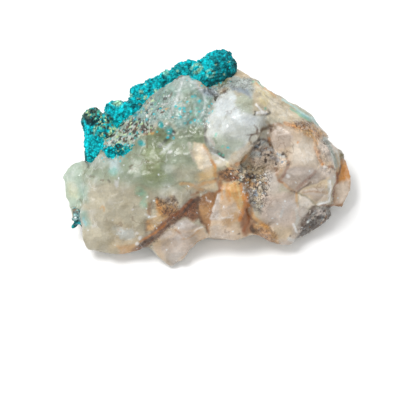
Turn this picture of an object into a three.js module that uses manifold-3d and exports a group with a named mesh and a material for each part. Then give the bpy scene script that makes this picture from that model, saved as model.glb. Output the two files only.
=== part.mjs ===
// A rough piece of milky quartz with a bubbly crust of chrysocolla, lying on its broken underside.
// Millimetres, +Z up, +X to the right and +Y away from the viewer, origin under the middle of the stone.
import * as THREE from "three";
import { ConvexHull } from "three/addons/math/ConvexHull.js";
import { ImprovedNoise } from "three/addons/math/ImprovedNoise.js";
import { mergeVertices } from "three/addons/utils/BufferGeometryUtils.js";
import Module from "manifold-3d";

const wasm = await Module();
wasm.setup();

// The stone is 59 mm long, 41 mm deep and 24 mm high. Its corners are given as the photograph shows them,
// looking down at VIEW_ELEVATION: mm right of the middle, mm up the picture, and mm above the ground.
const VIEW_ELEVATION = THREE.MathUtils.degToRad(67);

// The crust keeps this far off the quartz that it grew on.
const CRUST_GAP = 0.3;

// What is cut away below the ground, which leaves the flat that the stone rests on.
const GROUND_CUT = { length: 80, depth: 80, height: 10 };

// How wide the blocks and the balls run into each other where they meet.
const CREASE_FILL = 1.2;
const CRUST_FILL = 1.4;

// The broken skin of the quartz and the grains of the crust: their spacing, how deep they go, and the
// share of that depth that lies inside the plain blocks and outside the plain balls.
const SCOOP = { size: 5.5, depth: 1.2, level: 0.45 };
const SWELL = { size: 6, depth: 0.25 };
const GRAIN = { size: 1.9, depth: 1.2, level: 0.35 };

// The finest step of each surface.
const QUARTZ_CELL = 1.55;
const CRUST_CELL = 1.2;

// The quartz: convex blocks that broke or grew against each other, so that creases run between them.
// `rounding` is how softly a block's own faces meet: lobes are worn round, crystals are crisp.
const QUARTZ_BLOCKS = {
  core: { rounding: 0.6, corners: [
    [-17, -11.5, -0.2], [-6, -14, -0.2], [11, -13.5, -0.2], [18, -8, -0.2],
    [15, 3, -0.2], [2, 8, -0.2], [-11, 5, -0.2], [-19, -3, -0.2],
    [-24, -8, 6], [-20, -15, 4], [-13, -17, 3], [-1, -13.8, 3.4], [9, -13.8, 3], [18, -13, 2.5],
    [24, -9, 4.5], [26, -1, 6], [18, 8, 8], [8, 13, 10], [-3, 15, 10], [-14, 10, 9], [-22, 4, 8],
    [-12.5, -14, 5.2], [-4.5, -10.5, 7.8], [1.2, -5.5, 11], [8.8, 0.8, 15.4], [12.2, 5, 18.2],
    [-15, -2, 12.5], [-4, 8, 18], [5, 10, 19], [14, 5, 16.6], [20, -3, 12], [16, -8.5, 8],
  ] },
  leftLobe: { rounding: 0.8, corners: [
    [-24.8, -17.4, 4.8], [-23.4, -18.9, 4], [-19.9, -19.1, 4.2], [-16.2, -20.4, 3.4], [-13.6, -19, 4.4],
    [-25.2, -14.2, 6.6], [-25.8, -10, 8], [-25.6, -5, 9.2], [-24.6, -1, 10],
    [-21.5, 1.5, 12.5], [-18, 2.5, 15.2], [-12, 3, 17.6], [-6, 2, 18.6], [-1.5, 1.5, 18.8], [1.5, 0, 18.2],
    [1.4, -3.8, 15.4], [-1.5, -6.2, 13.6], [-6.5, -8.4, 12], [-10.2, -9, 12], [-11.8, -11.6, 10],
    [-12.2, -15, 7.6], [-15, -3, 16.4], [-19, -7, 13.6], [-20.5, -12, 10.4], [-16, -14, 9.4],
    [-9, -2.5, 16.8], [-13, 6, 17], [-6, 7, 18.6], [-1, 6, 19], [-23, -17, -1], [-16.3, -19.4, -1],
    [-13, -17.6, -1], [-18, -4, -1], [-8, -6, -1],
  ] },
  leftFlap: { rounding: 0.3, corners: [
    [-25.6, 0.5, 8.6], [-27.3, -1.8, 7], [-29.6, -3.8, 6], [-29.8, -6, 5], [-29.2, -8.5, 4.5],
    [-28, -10.8, 4], [-27, -13, 4], [-24, -14, 5.5], [-22, -6, 9.5], [-23, 0.5, 9.5],
    [-27, -5, 1.5], [-26, -10, 1], [-21, -10, 0],
  ] },
  peak: { rounding: 0.4, corners: [
    [-5.8, 16.9, 19.8], [-3.2, 17, 20.4], [-1, 15.2, 20.8], [1, 13.5, 21], [1.6, 11.4, 20.6],
    [0, 8, 21], [0, 3, 19.4], [-3.4, -1, 17.2], [-9, -1, 16.6], [-14, -0.6, 15.2], [-18.5, 2.6, 14.5],
    [-20.4, 3.2, 13], [-18, 6.2, 13.8], [-17, 8.2, 14], [-14.2, 9.7, 15.8], [-10.6, 11.6, 17.6],
    [-8.4, 13.6, 18.8], [-7.2, 15.2, 19.2], [-5, 8, 21.4], [-15, 5, 2], [-5, 9, 2], [0, 8, 2],
  ] },
  whiteLump: { rounding: 0.7, corners: [
    [-0.4, 8.3, 20], [2.4, 12.9, 21.5], [6.7, 15, 21], [11, 12, 22], [11.8, 7.7, 22], [10.7, 4.3, 20.6],
    [9.4, 1, 18.6], [6.3, -2.2, 16.8], [3.3, -0.4, 17.2], [1, 1.2, 18.2], [-0.4, 4.4, 19.6],
    [5, 9, 24], [8.4, 8, 24.2], [4, 4.6, 22.6], [8, 3.8, 22], [2, 3, 5], [9, 3, 5], [6, 9, 5],
  ] },
  backRidge: { rounding: 0.3, corners: [
    [5.6, 18.4, 17.5], [8.4, 16.8, 17.5], [11.3, 15.1, 17.5], [13.7, 13.2, 17.5], [16.4, 11.5, 16.5],
    [20, 9.9, 14.6], [22.4, 8.1, 13], [23.9, 6.5, 12], [25.9, 4.1, 10.5], [24, 2.5, 12.5],
    [20.5, 6, 16.5], [13, 6.5, 21.4], [11, 11, 21.8], [8, 13.8, 21.2], [3.6, 14.6, 20.6],
    [2, 15.5, 18], [4, 13, 6], [12, 10, 6], [20, 6, 5],
  ] },
  rightLump: { rounding: 0.6, corners: [
    [12.5, 6, 20.8], [15.5, 6.7, 20.4], [20.3, 6.2, 17.5], [24, 3, 14], [26.4, -1.2, 12], [26.2, -4.6, 10.6],
    [21.5, -6.9, 11.6], [18.3, -7.4, 11.6], [15.7, -5.4, 13.2], [14.8, -1.2, 16], [12.8, 2.9, 18.4],
    [19, 2.5, 19.2], [17.2, 4.5, 20.4], [20, -2, 16.4], [14, 0, 4], [23, -4, 3], [20, 4, 4],
  ] },
  rightTip: { rounding: 0.3, corners: [
    [24.4, 5, 9.8], [25.8, 4, 9.4], [27.4, 2, 8], [29.3, -0.3, 7], [30, -2, 6], [30.1, -4, 5],
    [29.3, -7.2, 4.5], [28.2, -9.8, 3.5], [27, -10.8, 3.5], [25.2, -10.8, 5.5], [25, -3, 9.6],
    [27, -3, 1], [26, -7, 0.5], [22, -4, 0],
  ] },
  starFacets: { rounding: 0.2, corners: [
    [18.3, -7.2, 12.4], [21.6, -6.6, 13], [25.8, -4.2, 11.2], [25.4, -9.8, 8], [22, -10.6, 9],
    [20, -12.6, 7.4], [18.6, -10.6, 9.8], [20, -10, -1], [24, -8, -1],
  ] },
  lowerRight: { rounding: 0.5, corners: [
    [8.6, -4, 14.2], [12, -2.2, 16], [15.2, -2.2, 15.4], [18.4, -7, 12.4], [18.8, -10.8, 9.6],
    [18.2, -15, 6], [17, -17.9, 3.4], [14.6, -18.3, 3.6], [12.2, -17.4, 4.4], [9.7, -15.2, 6],
    [8.1, -10.8, 9], [7.3, -7.4, 11.6], [13.5, -8.6, 13], [11, -15, -1], [16, -17, -1], [14, -8, -1],
  ] },
  darkCorner: { rounding: 0.3, corners: [
    [19.4, -11, 7.4], [26.3, -10.6, 6.4], [24.8, -12.9, 4.6], [22.9, -14, 4], [21.2, -16, 3],
    [17.6, -17.2, 2.6], [16.5, -14.5, 5], [23, -11, 7.6], [20.6, -12, 7.6], [18.6, -9.4, 9.6],
    [18, -13.4, 7.2], [17.5, -16.6, -1], [21.4, -14.8, -1], [25, -11.8, -1], [20, -8, -1],
  ] },
  centreCrystal: { rounding: 0.1, corners: [
    [3.1, -5.3, 15.2], [6.4, -4.6, 15.8], [8.6, -8, 13], [8.4, -11.6, 10.2], [9, -15.4, 6.6],
    [6, -17, 5.4], [3, -16.8, 5.8], [0.2, -16.1, 6.2], [0.5, -13, 8.8], [1.8, -8.4, 12.6],
    [1, -15.6, -1], [8.4, -15, -1], [5, -16.4, -1],
  ] },
  brownBlock: { rounding: 0.2, corners: [
    [-1.6, -6.3, 12.6], [2.8, -5.6, 13], [1.6, -10, 9.8], [0.4, -15.4, 6.2], [-2.2, -13.4, 7.9],
    [-3.4, -9, 10.9], [0, -10, 1],
  ] },
  bottomWedge: { rounding: 0.1, corners: [
    [-11.8, -18.2, 4.2], [-9.2, -19.9, 3], [-7.8, -22, 1.6], [-7, -22, 1.6], [-3.7, -19, 4],
    [-2, -17.9, 5], [0.6, -16.1, 6], [0.8, -14.2, 7.4], [-3.8, -12.6, 9.4], [-6.2, -13.6, 8.4],
    [-9.5, -16.6, 6], [-7.4, -21.6, -1], [-2, -16, -1], [-10, -17, -1],
  ] },
  brownNub: { rounding: 0.2, corners: [
    [-10.4, -8.2, 12], [-7, -7.8, 12.4], [-4.6, -10, 10.8], [-6, -12.8, 8.4], [-9.4, -15, 6.8],
    [-12.4, -15, 6.8], [-12.4, -11.4, 9.8], [-8.4, -11.6, 10.6], [-8, -11, 1],
  ] },
  backBody: { rounding: 0.6, corners: [
    [-22, 5, 9], [-14, 9.5, 11], [-3, 13.5, 14], [5, 13.5, 14], [13, 10, 13], [21, 6, 9],
    [-17, 3.5, -0.2], [-5, 9.5, -0.2], [6, 9.5, -0.2], [16, 4.5, -0.2], [-10, 9, 16], [2, 12, 19],
    [14, 9, 17],
  ] },
  veinFloor: { rounding: 0.3, corners: [
    [-7.4, -9.4, 10.8], [-2.6, -7, 12.4], [-0.6, -7.6, 12], [0.6, -13.4, 8], [-1.4, -14.4, 7.4],
    [-6.2, -13.8, 7.6], [-8.8, -12, 8.8], [-4, -10.6, 10.4], [-4, -11, 1],
  ] },
  crumblyMiddle: { rounding: 0.4, corners: [
    [0, -0.6, 17.4], [2.4, 0.2, 17.4], [6.2, -2, 16.8], [8.6, -2, 16.2], [9.6, -4.6, 15.2], [9, -6.4, 13.8],
    [7.6, -7.6, 12.6], [3, -5.6, 14], [-0.6, -6.8, 12.6], [-1, -4, 14.4], [3.6, -3.4, 15.8], [4, -4, 4],
  ] },
  saddle: { rounding: 0.4, corners: [
    [-1, 14.4, 19.6], [1.4, 15.2, 19.2], [4.2, 15.7, 19.4], [6.8, 16.4, 19], [4, 12, 20.4], [0.6, 12, 20.4],
    [2, 11, 8],
  ] },
};

// The crust: balls as [right, up, height, radius], from the top of the picture down the left edge,
// then the ones that carry on over the back.
const CRUST_BALLS = [
  [2.5, 18.3, 18, 3.5], [-1, 16.6, 18.6, 2.8], [-3.2, 17.6, 16.5, 2.2], [-5.6, 16.9, 15.5, 2.2],
  [-8.2, 15.2, 15, 2.1], [-10.2, 14.6, 15, 2], [-13.2, 12.7, 13.8, 2.5], [-11.2, 12.4, 15.6, 1.9],
  [-14.8, 9.8, 13.6, 1.8], [-16.8, 8.6, 12.8, 1.8], [-18.8, 9.6, 11.6, 2], [-20.3, 7, 12.2, 2],
  [-23.5, 7.9, 9.6, 2.1], [-22.8, 5.4, 9.8, 2.2], [-22.9, 2.8, 9.8, 2.1], [-23.4, 0.6, 9.4, 1.5],
  [-20.4, 4.8, 12.2, 1.9], [-21.2, 1.8, 11.4, 1.7], [-19.2, 1.2, 13.6, 1.5], [-17.2, 1.2, 14.8, 1.3],
  [-15.6, 1.4, 15.6, 1.1],
  [2, 15, 12, 3.2], [-4, 14, 11.5, 3], [-9.5, 12.2, 10.5, 3], [-14.5, 9.5, 9, 2.8],
  [-19.5, 6, 7.4, 2.6], [-6.5, 12.4, 6.5, 2.6], [0, 12.6, 6, 2.4], [-12, 9.6, 5.5, 2.3],
];
const PATCH_BALLS = [[-26.6, -11.4, 5, 1.2], [-26, -13.2, 5, 1.3], [-26.7, -12.6, 4.6, 1]];

// A corner of the photograph, brought back into the stone's own frame.
function at([right, up, height]) {
  const away = (up - height * Math.cos(VIEW_ELEVATION)) / Math.sin(VIEW_ELEVATION);
  return new THREE.Vector3(right, away, height);
}

// A repeatable number from 0 to 1 for a grid cell.
function chance(x, y, z, which) {
  const wave = Math.sin(x * 127.1 + y * 311.7 + z * 74.7 + which * 53.3) * 43758.5453;
  return wave - Math.floor(wave);
}

// How far the nearest of some random seeds is, one seed to each cell of a cubic grid, in cells.
function seedDistance(point, cellSize) {
  const [px, py, pz] = [point.x, point.y, point.z].map((value) => value / cellSize);
  const [cx, cy, cz] = [px, py, pz].map(Math.floor);
  let nearest = Infinity;
  for (const x of [cx - 1, cx, cx + 1]) {
    for (const y of [cy - 1, cy, cy + 1]) {
      for (const z of [cz - 1, cz, cz + 1]) {
        const seed = [x + chance(x, y, z, 0), y + chance(x, y, z, 1), z + chance(x, y, z, 2)];
        nearest = Math.min(nearest, Math.hypot(seed[0] - px, seed[1] - py, seed[2] - pz));
      }
    }
  }
  return nearest;
}

// Broken quartz: shallow scoops with sharp ridges between them, over a slow swell.
const noise = new ImprovedNoise();
function quartzRelief(point) {
  const scoop = seedDistance(point, SCOOP.size) ** 2 - SCOOP.level;
  const swell = noise.noise(point.x / SWELL.size, point.y / SWELL.size, point.z / SWELL.size);
  return scoop * SCOOP.depth + swell * SWELL.depth;
}

// Crust: round grains with sharp valleys between them.
function crustRelief(point) {
  return GRAIN.depth * (GRAIN.level - seedDistance(point, GRAIN.size) ** 2);
}

// The larger of two values, with a soft change between them over `width`.
function softMax(a, b, width) {
  const overlap = Math.max(width - Math.abs(a - b), 0);
  return Math.max(a, b) + (overlap * overlap) / (4 * width);
}

function softMin(a, b, width) {
  return -softMax(-a, -b, width);
}

// The distance to a convex block, negative inside it. Its faces stand out by what its edges lose.
function blockField({ corners, rounding }) {
  const SAME_WAY = 0.999;
  const SAME_PLACE = 0.05;
  const planes = [];
  for (const { normal, constant } of new ConvexHull().setFromPoints(corners.map(at)).faces) {
    const isSame = (p) => p.normal.dot(normal) > SAME_WAY && Math.abs(p.constant - constant) < SAME_PLACE;
    if (!planes.some(isSame)) planes.push({ normal, constant });
  }
  return (point) => {
    let depth = -Infinity;
    for (const { normal, constant } of planes) depth = softMax(depth, normal.dot(point) - constant, rounding);
    return depth - rounding / 4;
  };
}

function ballField([right, up, height, radius]) {
  const middle = at([right, up, height]);
  return (point) => point.distanceTo(middle) - radius;
}

// Shapes that grew together, with their creases filled over `fill` and their skin raised by `relief`.
function grownTogether(fields, fill, relief) {
  const NEAR = 3;
  return (point) => {
    const depth = fields.reduce((least, field) => softMin(least, field(point), fill), NEAR);
    return Math.abs(depth) < NEAR ? depth - relief(point) : depth;
  };
}

// The value given to a grid point that is moved to the other side of the surface.
const JUST_ACROSS = 0.2;

// A cubic grid over a box, with a field's value at each of its points.
function sampleField(field, box, cell) {
  const counts = box.getSize(new THREE.Vector3()).toArray().map((side) => Math.ceil(side / cell) + 1);
  const grid = { field, cell, counts, low: box.min, values: [] };
  for (let k = 0; k < counts[2]; k++) {
    for (let j = 0; j < counts[1]; j++) {
      for (let i = 0; i < counts[0]; i++) grid.values.push(field(gridPoint(grid, [i, j, k])));
    }
  }
  return grid;
}

function gridPoint({ low, cell }, place) {
  return new THREE.Vector3(...place).multiplyScalar(cell).add(low);
}

function gridKey({ counts }, [i, j, k]) {
  return (k * counts[1] + j) * counts[0] + i;
}

// Every place in a grid that has a next neighbour in each direction.
function* placesIn({ counts }) {
  for (let k = 0; k < counts[2] - 1; k++) {
    for (let j = 0; j < counts[1] - 1; j++) {
      for (let i = 0; i < counts[0] - 1; i++) yield [i, j, k];
    }
  }
}

// True where corners of a cell are joined along its edges. A corner's three bits are its x, y and z.
function areJoined(corners) {
  const reached = new Set(corners.slice(0, 1));
  for (const corner of reached) {
    for (const bit of [1, 2, 4]) {
      if (corners.includes(corner ^ bit)) reached.add(corner ^ bit);
    }
  }
  return reached.size === corners.length;
}

// Fills grid points until no cell holds two sheets of the surface, which would touch in its one vertex.
function closePinches(grid) {
  const CORNERS = [0, 1, 2, 3, 4, 5, 6, 7];
  let found = true;
  while (found) {
    found = false;
    for (const [i, j, k] of placesIn(grid)) {
      const keys = CORNERS.map((c) => gridKey(grid, [i + (c & 1), j + ((c >> 1) & 1), k + (c >> 2)]));
      const inside = CORNERS.filter((c) => grid.values[keys[c]] < 0);
      const outside = CORNERS.filter((c) => grid.values[keys[c]] >= 0);
      if (areJoined(inside) && areJoined(outside)) continue;
      const nearest = outside.reduce((a, b) => (grid.values[keys[b]] < grid.values[keys[a]] ? b : a));
      grid.values[keys[nearest]] = -JUST_ACROSS;
      found = true;
    }
  }
}

// Marks every grid point that joins on to the first one without a change of side.
function floodFrom(grid, first) {
  const reached = new Set([gridKey(grid, first)]);
  const side = grid.values[gridKey(grid, first)] < 0;
  const waiting = [first];
  while (waiting.length > 0) {
    const place = waiting.pop();
    for (const axis of [0, 1, 2]) {
      for (const step of [-1, 1]) {
        const next = [...place];
        next[axis] += step;
        const key = gridKey(grid, next);
        const isInGrid = next[axis] >= 0 && next[axis] < grid.counts[axis];
        if (!isInGrid || reached.has(key) || grid.values[key] < 0 !== side) continue;
        reached.add(key);
        waiting.push(next);
      }
    }
  }
  return reached;
}

// Fills hollows that no opening reaches and drops chips that hang free, so that one body is left.
function keepOneBody(grid) {
  const [countX, countY] = grid.counts;
  const outside = floodFrom(grid, [0, 0, 0]);
  grid.values = grid.values.map((value, key) => (value >= 0 && !outside.has(key) ? -JUST_ACROSS : value));
  const deepest = grid.values.reduce((best, value, key) => (value < grid.values[best] ? key : best), 0);
  const row = Math.floor(deepest / countX);
  const inside = floodFrom(grid, [deepest % countX, row % countY, Math.floor(row / countY)]);
  grid.values = grid.values.map((value, key) => (value < 0 && !inside.has(key) ? JUST_ACROSS : value));
}

// The direction in which a field rises fastest.
function fieldNormal({ field, cell }, point) {
  const step = cell / 20;
  const slope = ["x", "y", "z"].map((axis) => {
    const [ahead, behind] = [point.clone(), point.clone()];
    ahead[axis] += step;
    behind[axis] -= step;
    return field(ahead) - field(behind);
  });
  return new THREE.Vector3(...slope).normalize();
}

// The four grid cells around the grid edge that starts at `place` and runs along `axis`.
function cellsAround(place, axis) {
  const [u, v] = [(axis + 1) % 3, (axis + 2) % 3];
  return [[0, 0], [-1, 0], [-1, -1], [0, -1]].map(([du, dv]) => {
    const cellPlace = [...place];
    cellPlace[u] += du;
    cellPlace[v] += dv;
    return cellPlace;
  });
}

// Every grid edge that the surface crosses, with where, how the surface lies there and which way it faces.
function edgeCrossings(grid) {
  const crossings = [];
  for (const place of placesIn(grid)) {
    const near = grid.values[gridKey(grid, place)];
    for (const axis of [0, 1, 2]) {
      const next = [...place];
      next[axis] += 1;
      const far = grid.values[gridKey(grid, next)];
      if (near < 0 === far < 0) continue;
      const point = gridPoint(grid, place).lerp(gridPoint(grid, next), near / (near - far));
      const cells = cellsAround(place, axis);
      if (near > far) cells.reverse();
      crossings.push({ point, normal: fieldNormal(grid, point), cells });
    }
  }
  return crossings;
}

// Where the planes that cross a grid cell meet, which keeps sharp edges sharp, but no nearer than MARGIN
// to the cell's own walls.
function meetingPoint(planes, corner, cell) {
  const MARGIN = cell / 20;
  const ROUNDS = 12;
  const PULL = 0.5 / planes.length;
  const meeting = new THREE.Vector3();
  for (const { point } of planes) meeting.addScaledVector(point, 1 / planes.length);
  for (let round = 0; round < ROUNDS; round++) {
    for (const { point, normal } of planes) {
      const off = meeting.clone().sub(point).dot(normal);
      meeting.addScaledVector(normal, -PULL * off);
    }
  }
  return meeting.clamp(corner.clone().addScalar(MARGIN), corner.clone().addScalar(cell - MARGIN));
}

// A closed mesh of the surface where a field is zero: one vertex to each grid cell that the surface
// crosses, and one four-sided face to each grid edge that it crosses.
function meshOf(field, box, cell) {
  const grid = sampleField(field, box, cell);
  closePinches(grid);
  keepOneBody(grid);
  const crossings = edgeCrossings(grid);
  const planesIn = new Map();
  for (const crossing of crossings) {
    for (const place of crossing.cells) {
      const key = gridKey(grid, place);
      if (!planesIn.has(key)) planesIn.set(key, { place, planes: [] });
      planesIn.get(key).planes.push(crossing);
    }
  }
  const vertices = [];
  const vertexIn = new Map();
  for (const [key, { place, planes }] of planesIn) {
    vertexIn.set(key, vertices.length);
    vertices.push(meetingPoint(planes, gridPoint(grid, place), cell));
  }
  const triangles = crossings.flatMap(({ cells }) => {
    const [a, b, c, d] = cells.map((place) => vertexIn.get(gridKey(grid, place)));
    const firstIsShorter = vertices[a].distanceTo(vertices[c]) <= vertices[b].distanceTo(vertices[d]);
    return firstIsShorter ? [a, b, c, a, c, d] : [b, c, d, b, d, a];
  });
  return new THREE.BufferGeometry().setFromPoints(vertices).setIndex(triangles);
}

function solidFrom(geometry) {
  const TOUCHING = 1e-4;
  const bare = new THREE.BufferGeometry().setAttribute("position", geometry.getAttribute("position").clone());
  bare.setIndex(geometry.index);
  const merged = mergeVertices(bare, TOUCHING);
  const mesh = new wasm.Mesh({
    numProp: 3,
    vertProperties: new Float32Array(merged.attributes.position.array),
    triVerts: new Uint32Array(merged.index.array),
  });
  return new wasm.Manifold(mesh);
}

function geometryFrom(solid) {
  const mesh = solid.getMesh();
  return new THREE.BufferGeometry()
    .setAttribute("position", new THREE.BufferAttribute(new Float32Array(mesh.vertProperties), 3))
    .setIndex(new THREE.BufferAttribute(new Uint32Array(mesh.triVerts), 1));
}

// Rounds each corner to a fine grid, joins corners that meet there, and drops the faces this flattens.
function snapped(geometry) {
  const GRID = 0.002;
  const { position } = geometry.attributes;
  position.array = position.array.map((value) => Math.round(value / GRID) * GRID);
  const merged = mergeVertices(geometry, GRID / 4);
  const faces = new Map();
  for (let i = 0; i < merged.index.count; i += 3) {
    const corners = [0, 1, 2].map((k) => merged.index.getX(i + k));
    if (new Set(corners).size < 3) continue;
    const key = [...corners].sort((a, b) => a - b).join();
    if (faces.has(key)) faces.delete(key);
    else faces.set(key, corners);
  }
  return merged.setIndex([...faces.values()].flat());
}

// The same geometry with each vertex moved out along its normal.
function swollen(geometry, distance) {
  geometry.computeVertexNormals();
  const { position, normal } = geometry.attributes;
  for (let i = 0; i < position.count; i++) {
    const point = new THREE.Vector3().fromBufferAttribute(position, i);
    point.addScaledVector(new THREE.Vector3().fromBufferAttribute(normal, i), distance);
    position.setXYZ(i, point.x, point.y, point.z);
  }
  return geometry;
}

// The box round some picture points, with room to spare on every side.
function boxAround(points, room) {
  return new THREE.Box3().setFromPoints(points.map(at)).expandByScalar(room);
}

function makeQuartz() {
  const ROOM = 4;
  const blocks = Object.values(QUARTZ_BLOCKS);
  const field = grownTogether(blocks.map(blockField), CREASE_FILL, quartzRelief);
  const rough = meshOf(field, boxAround(blocks.flatMap(({ corners }) => corners), ROOM), QUARTZ_CELL);
  const { length, depth, height } = GROUND_CUT;
  const ground = new THREE.BoxGeometry(length, depth, height).translate(0, 0, -height / 2);
  return solidFrom(rough).subtract(solidFrom(ground));
}

function makeCrust(balls, quartz) {
  const ROOM = 6;
  const field = grownTogether(balls.map(ballField), CRUST_FILL, crustRelief);
  const bubbly = meshOf(field, boxAround(balls, ROOM), CRUST_CELL);
  return solidFrom(bubbly).subtract(solidFrom(swollen(geometryFrom(quartz), CRUST_GAP)));
}

const quartz = makeQuartz();
const NODES = {
  quartz: { solid: quartz, colour: 0xc9c4b4, roughness: 0.45 },
  chrysocolla_crust: { solid: makeCrust(CRUST_BALLS, quartz), colour: 0x129aa5, roughness: 0.7 },
  chrysocolla_patch: { solid: makeCrust(PATCH_BALLS, quartz), colour: 0x1c6f74, roughness: 0.7 },
};

const stone = new THREE.Group();
for (const [name, { solid, colour, roughness }] of Object.entries(NODES)) {
  const material = new THREE.MeshStandardMaterial({ color: colour, roughness, metalness: 0 });
  const mesh = new THREE.Mesh(snapped(geometryFrom(solid)), material);
  mesh.name = name;
  stone.add(mesh);
}

// The stone stands with the middle of its box over the origin.
const middle = new THREE.Box3().setFromObject(stone).getCenter(new THREE.Vector3());
for (const mesh of stone.children) mesh.geometry.translate(-middle.x, -middle.y, 0);

export default stone;
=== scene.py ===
import math

import bpy
import numpy as np
from mathutils import Matrix, Vector
from mathutils.bvhtree import BVHTree


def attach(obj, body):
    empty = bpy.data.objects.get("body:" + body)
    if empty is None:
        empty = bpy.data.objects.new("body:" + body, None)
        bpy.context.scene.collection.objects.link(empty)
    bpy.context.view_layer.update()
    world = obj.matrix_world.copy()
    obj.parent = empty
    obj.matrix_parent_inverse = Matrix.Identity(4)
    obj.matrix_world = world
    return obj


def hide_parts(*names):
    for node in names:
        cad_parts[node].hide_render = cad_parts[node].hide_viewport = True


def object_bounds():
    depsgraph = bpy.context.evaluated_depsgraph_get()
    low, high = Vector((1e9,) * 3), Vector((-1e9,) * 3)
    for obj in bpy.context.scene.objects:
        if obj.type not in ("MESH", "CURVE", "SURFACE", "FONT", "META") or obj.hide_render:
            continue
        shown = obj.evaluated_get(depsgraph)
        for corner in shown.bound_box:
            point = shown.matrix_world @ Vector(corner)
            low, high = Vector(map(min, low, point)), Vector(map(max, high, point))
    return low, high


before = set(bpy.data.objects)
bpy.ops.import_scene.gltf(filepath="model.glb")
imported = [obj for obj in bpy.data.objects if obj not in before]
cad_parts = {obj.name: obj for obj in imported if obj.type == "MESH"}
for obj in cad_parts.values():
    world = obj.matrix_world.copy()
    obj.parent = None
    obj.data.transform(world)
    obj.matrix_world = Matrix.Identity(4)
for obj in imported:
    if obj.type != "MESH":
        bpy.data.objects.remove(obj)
cad_low, cad_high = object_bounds()

MM = 0.001

# The camera of the photograph. Aim is a point on the floor, and distance runs from it to the lens.
VIEW_ELEVATION = math.radians(67)
AIM = np.array([0.2, -7.0, 0.0])
DISTANCE = 600.0
SENSOR = 36.0
LENS = 252.0
PICTURE_PIXELS = 416

# The picture's own measure: millimetres right of and above the stone's middle, as the marks below are given.
STONE_MIDDLE_PIXEL = (206.9, 156.85)
MM_PER_PIXEL = 0.2033

RIGHT = np.array([1.0, 0.0, 0.0])
BACK = np.array([0.0, -math.cos(VIEW_ELEVATION), math.sin(VIEW_ELEVATION)])
UP = np.array([0.0, math.sin(VIEW_ELEVATION), math.cos(VIEW_ELEVATION)])
FOCAL_PIXELS = LENS / SENSOR * PICTURE_PIXELS

# Colours by name, as sRGB out of 255.
PALETTE = {
    "beige": (175, 168, 146),
    "pale_beige": (188, 180, 158),
    "blue_grey": (140, 154, 166),
    "peak_green": (132, 158, 148),
    "hazel": (178, 136, 100),
    "pale_gold": (200, 170, 138),
    "fawn": (204, 184, 150),
    "dun": (153, 132, 104),
    "aqua": (44, 196, 200),
    "grey_green": (142, 153, 130),
    "pale_grey_green": (166, 174, 156),
    "olive": (104, 116, 82),
    "moss": (128, 138, 92),
    "mint": (148, 174, 160),
    "pale_mint": (174, 190, 172),
    "butter": (200, 200, 168),
    "straw": (222, 208, 160),
    "sand": (198, 178, 146),
    "tan": (184, 142, 90),
    "cream": (224, 208, 180),
    "pale_cream": (222, 212, 190),
    "milky": (194, 198, 192),
    "frost": (206, 212, 212),
    "white": (245, 246, 246),
    "pale_blue": (170, 192, 194),
    "rosy": (198, 176, 150),
    "pink_grey": (188, 172, 158),
    "pale_rosy": (218, 206, 190),
    "lilac": (174, 160, 148),
    "pale_lilac": (200, 188, 178),
    "stone_grey": (140, 168, 164),
    "pale_grey": (190, 190, 186),
    "mist": (166, 178, 174),
    "bright_cream": (238, 220, 200),
    "slate": (116, 110, 106),
    "dull_blue": (140, 152, 170),
    "navy": (40, 50, 66),
    "orange": (204, 126, 34),
    "amber": (206, 146, 68),
    "honey": (210, 176, 120),
    "rust": (140, 76, 22),
    "red_brown": (134, 78, 38),
    "nut": (154, 110, 68),
    "cocoa": (126, 74, 36),
    "umber": (92, 62, 40),
    "dark_umber": (56, 38, 28),
    "drab": (118, 112, 84),
    "ink": (24, 22, 24),
    "turquoise": (0, 178, 188),
    "bright_turquoise": (0, 198, 206),
    "teal": (20, 146, 146),
    "deep_teal": (0, 84, 98),
    "dark_teal": (4, 44, 54),
    "sea_green": (84, 186, 160),
    "pale_green": (184, 212, 160),
    "film": (176, 216, 214),
    "black_green": (34, 40, 32),
    "olive_brown": (98, 90, 60),
}


def colour(name):
    """A palette colour in linear light."""
    value = np.array(PALETTE[name]) / 255
    return np.where(value <= 0.04045, value / 12.92, ((value + 0.055) / 1.055) ** 2.4)


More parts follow.
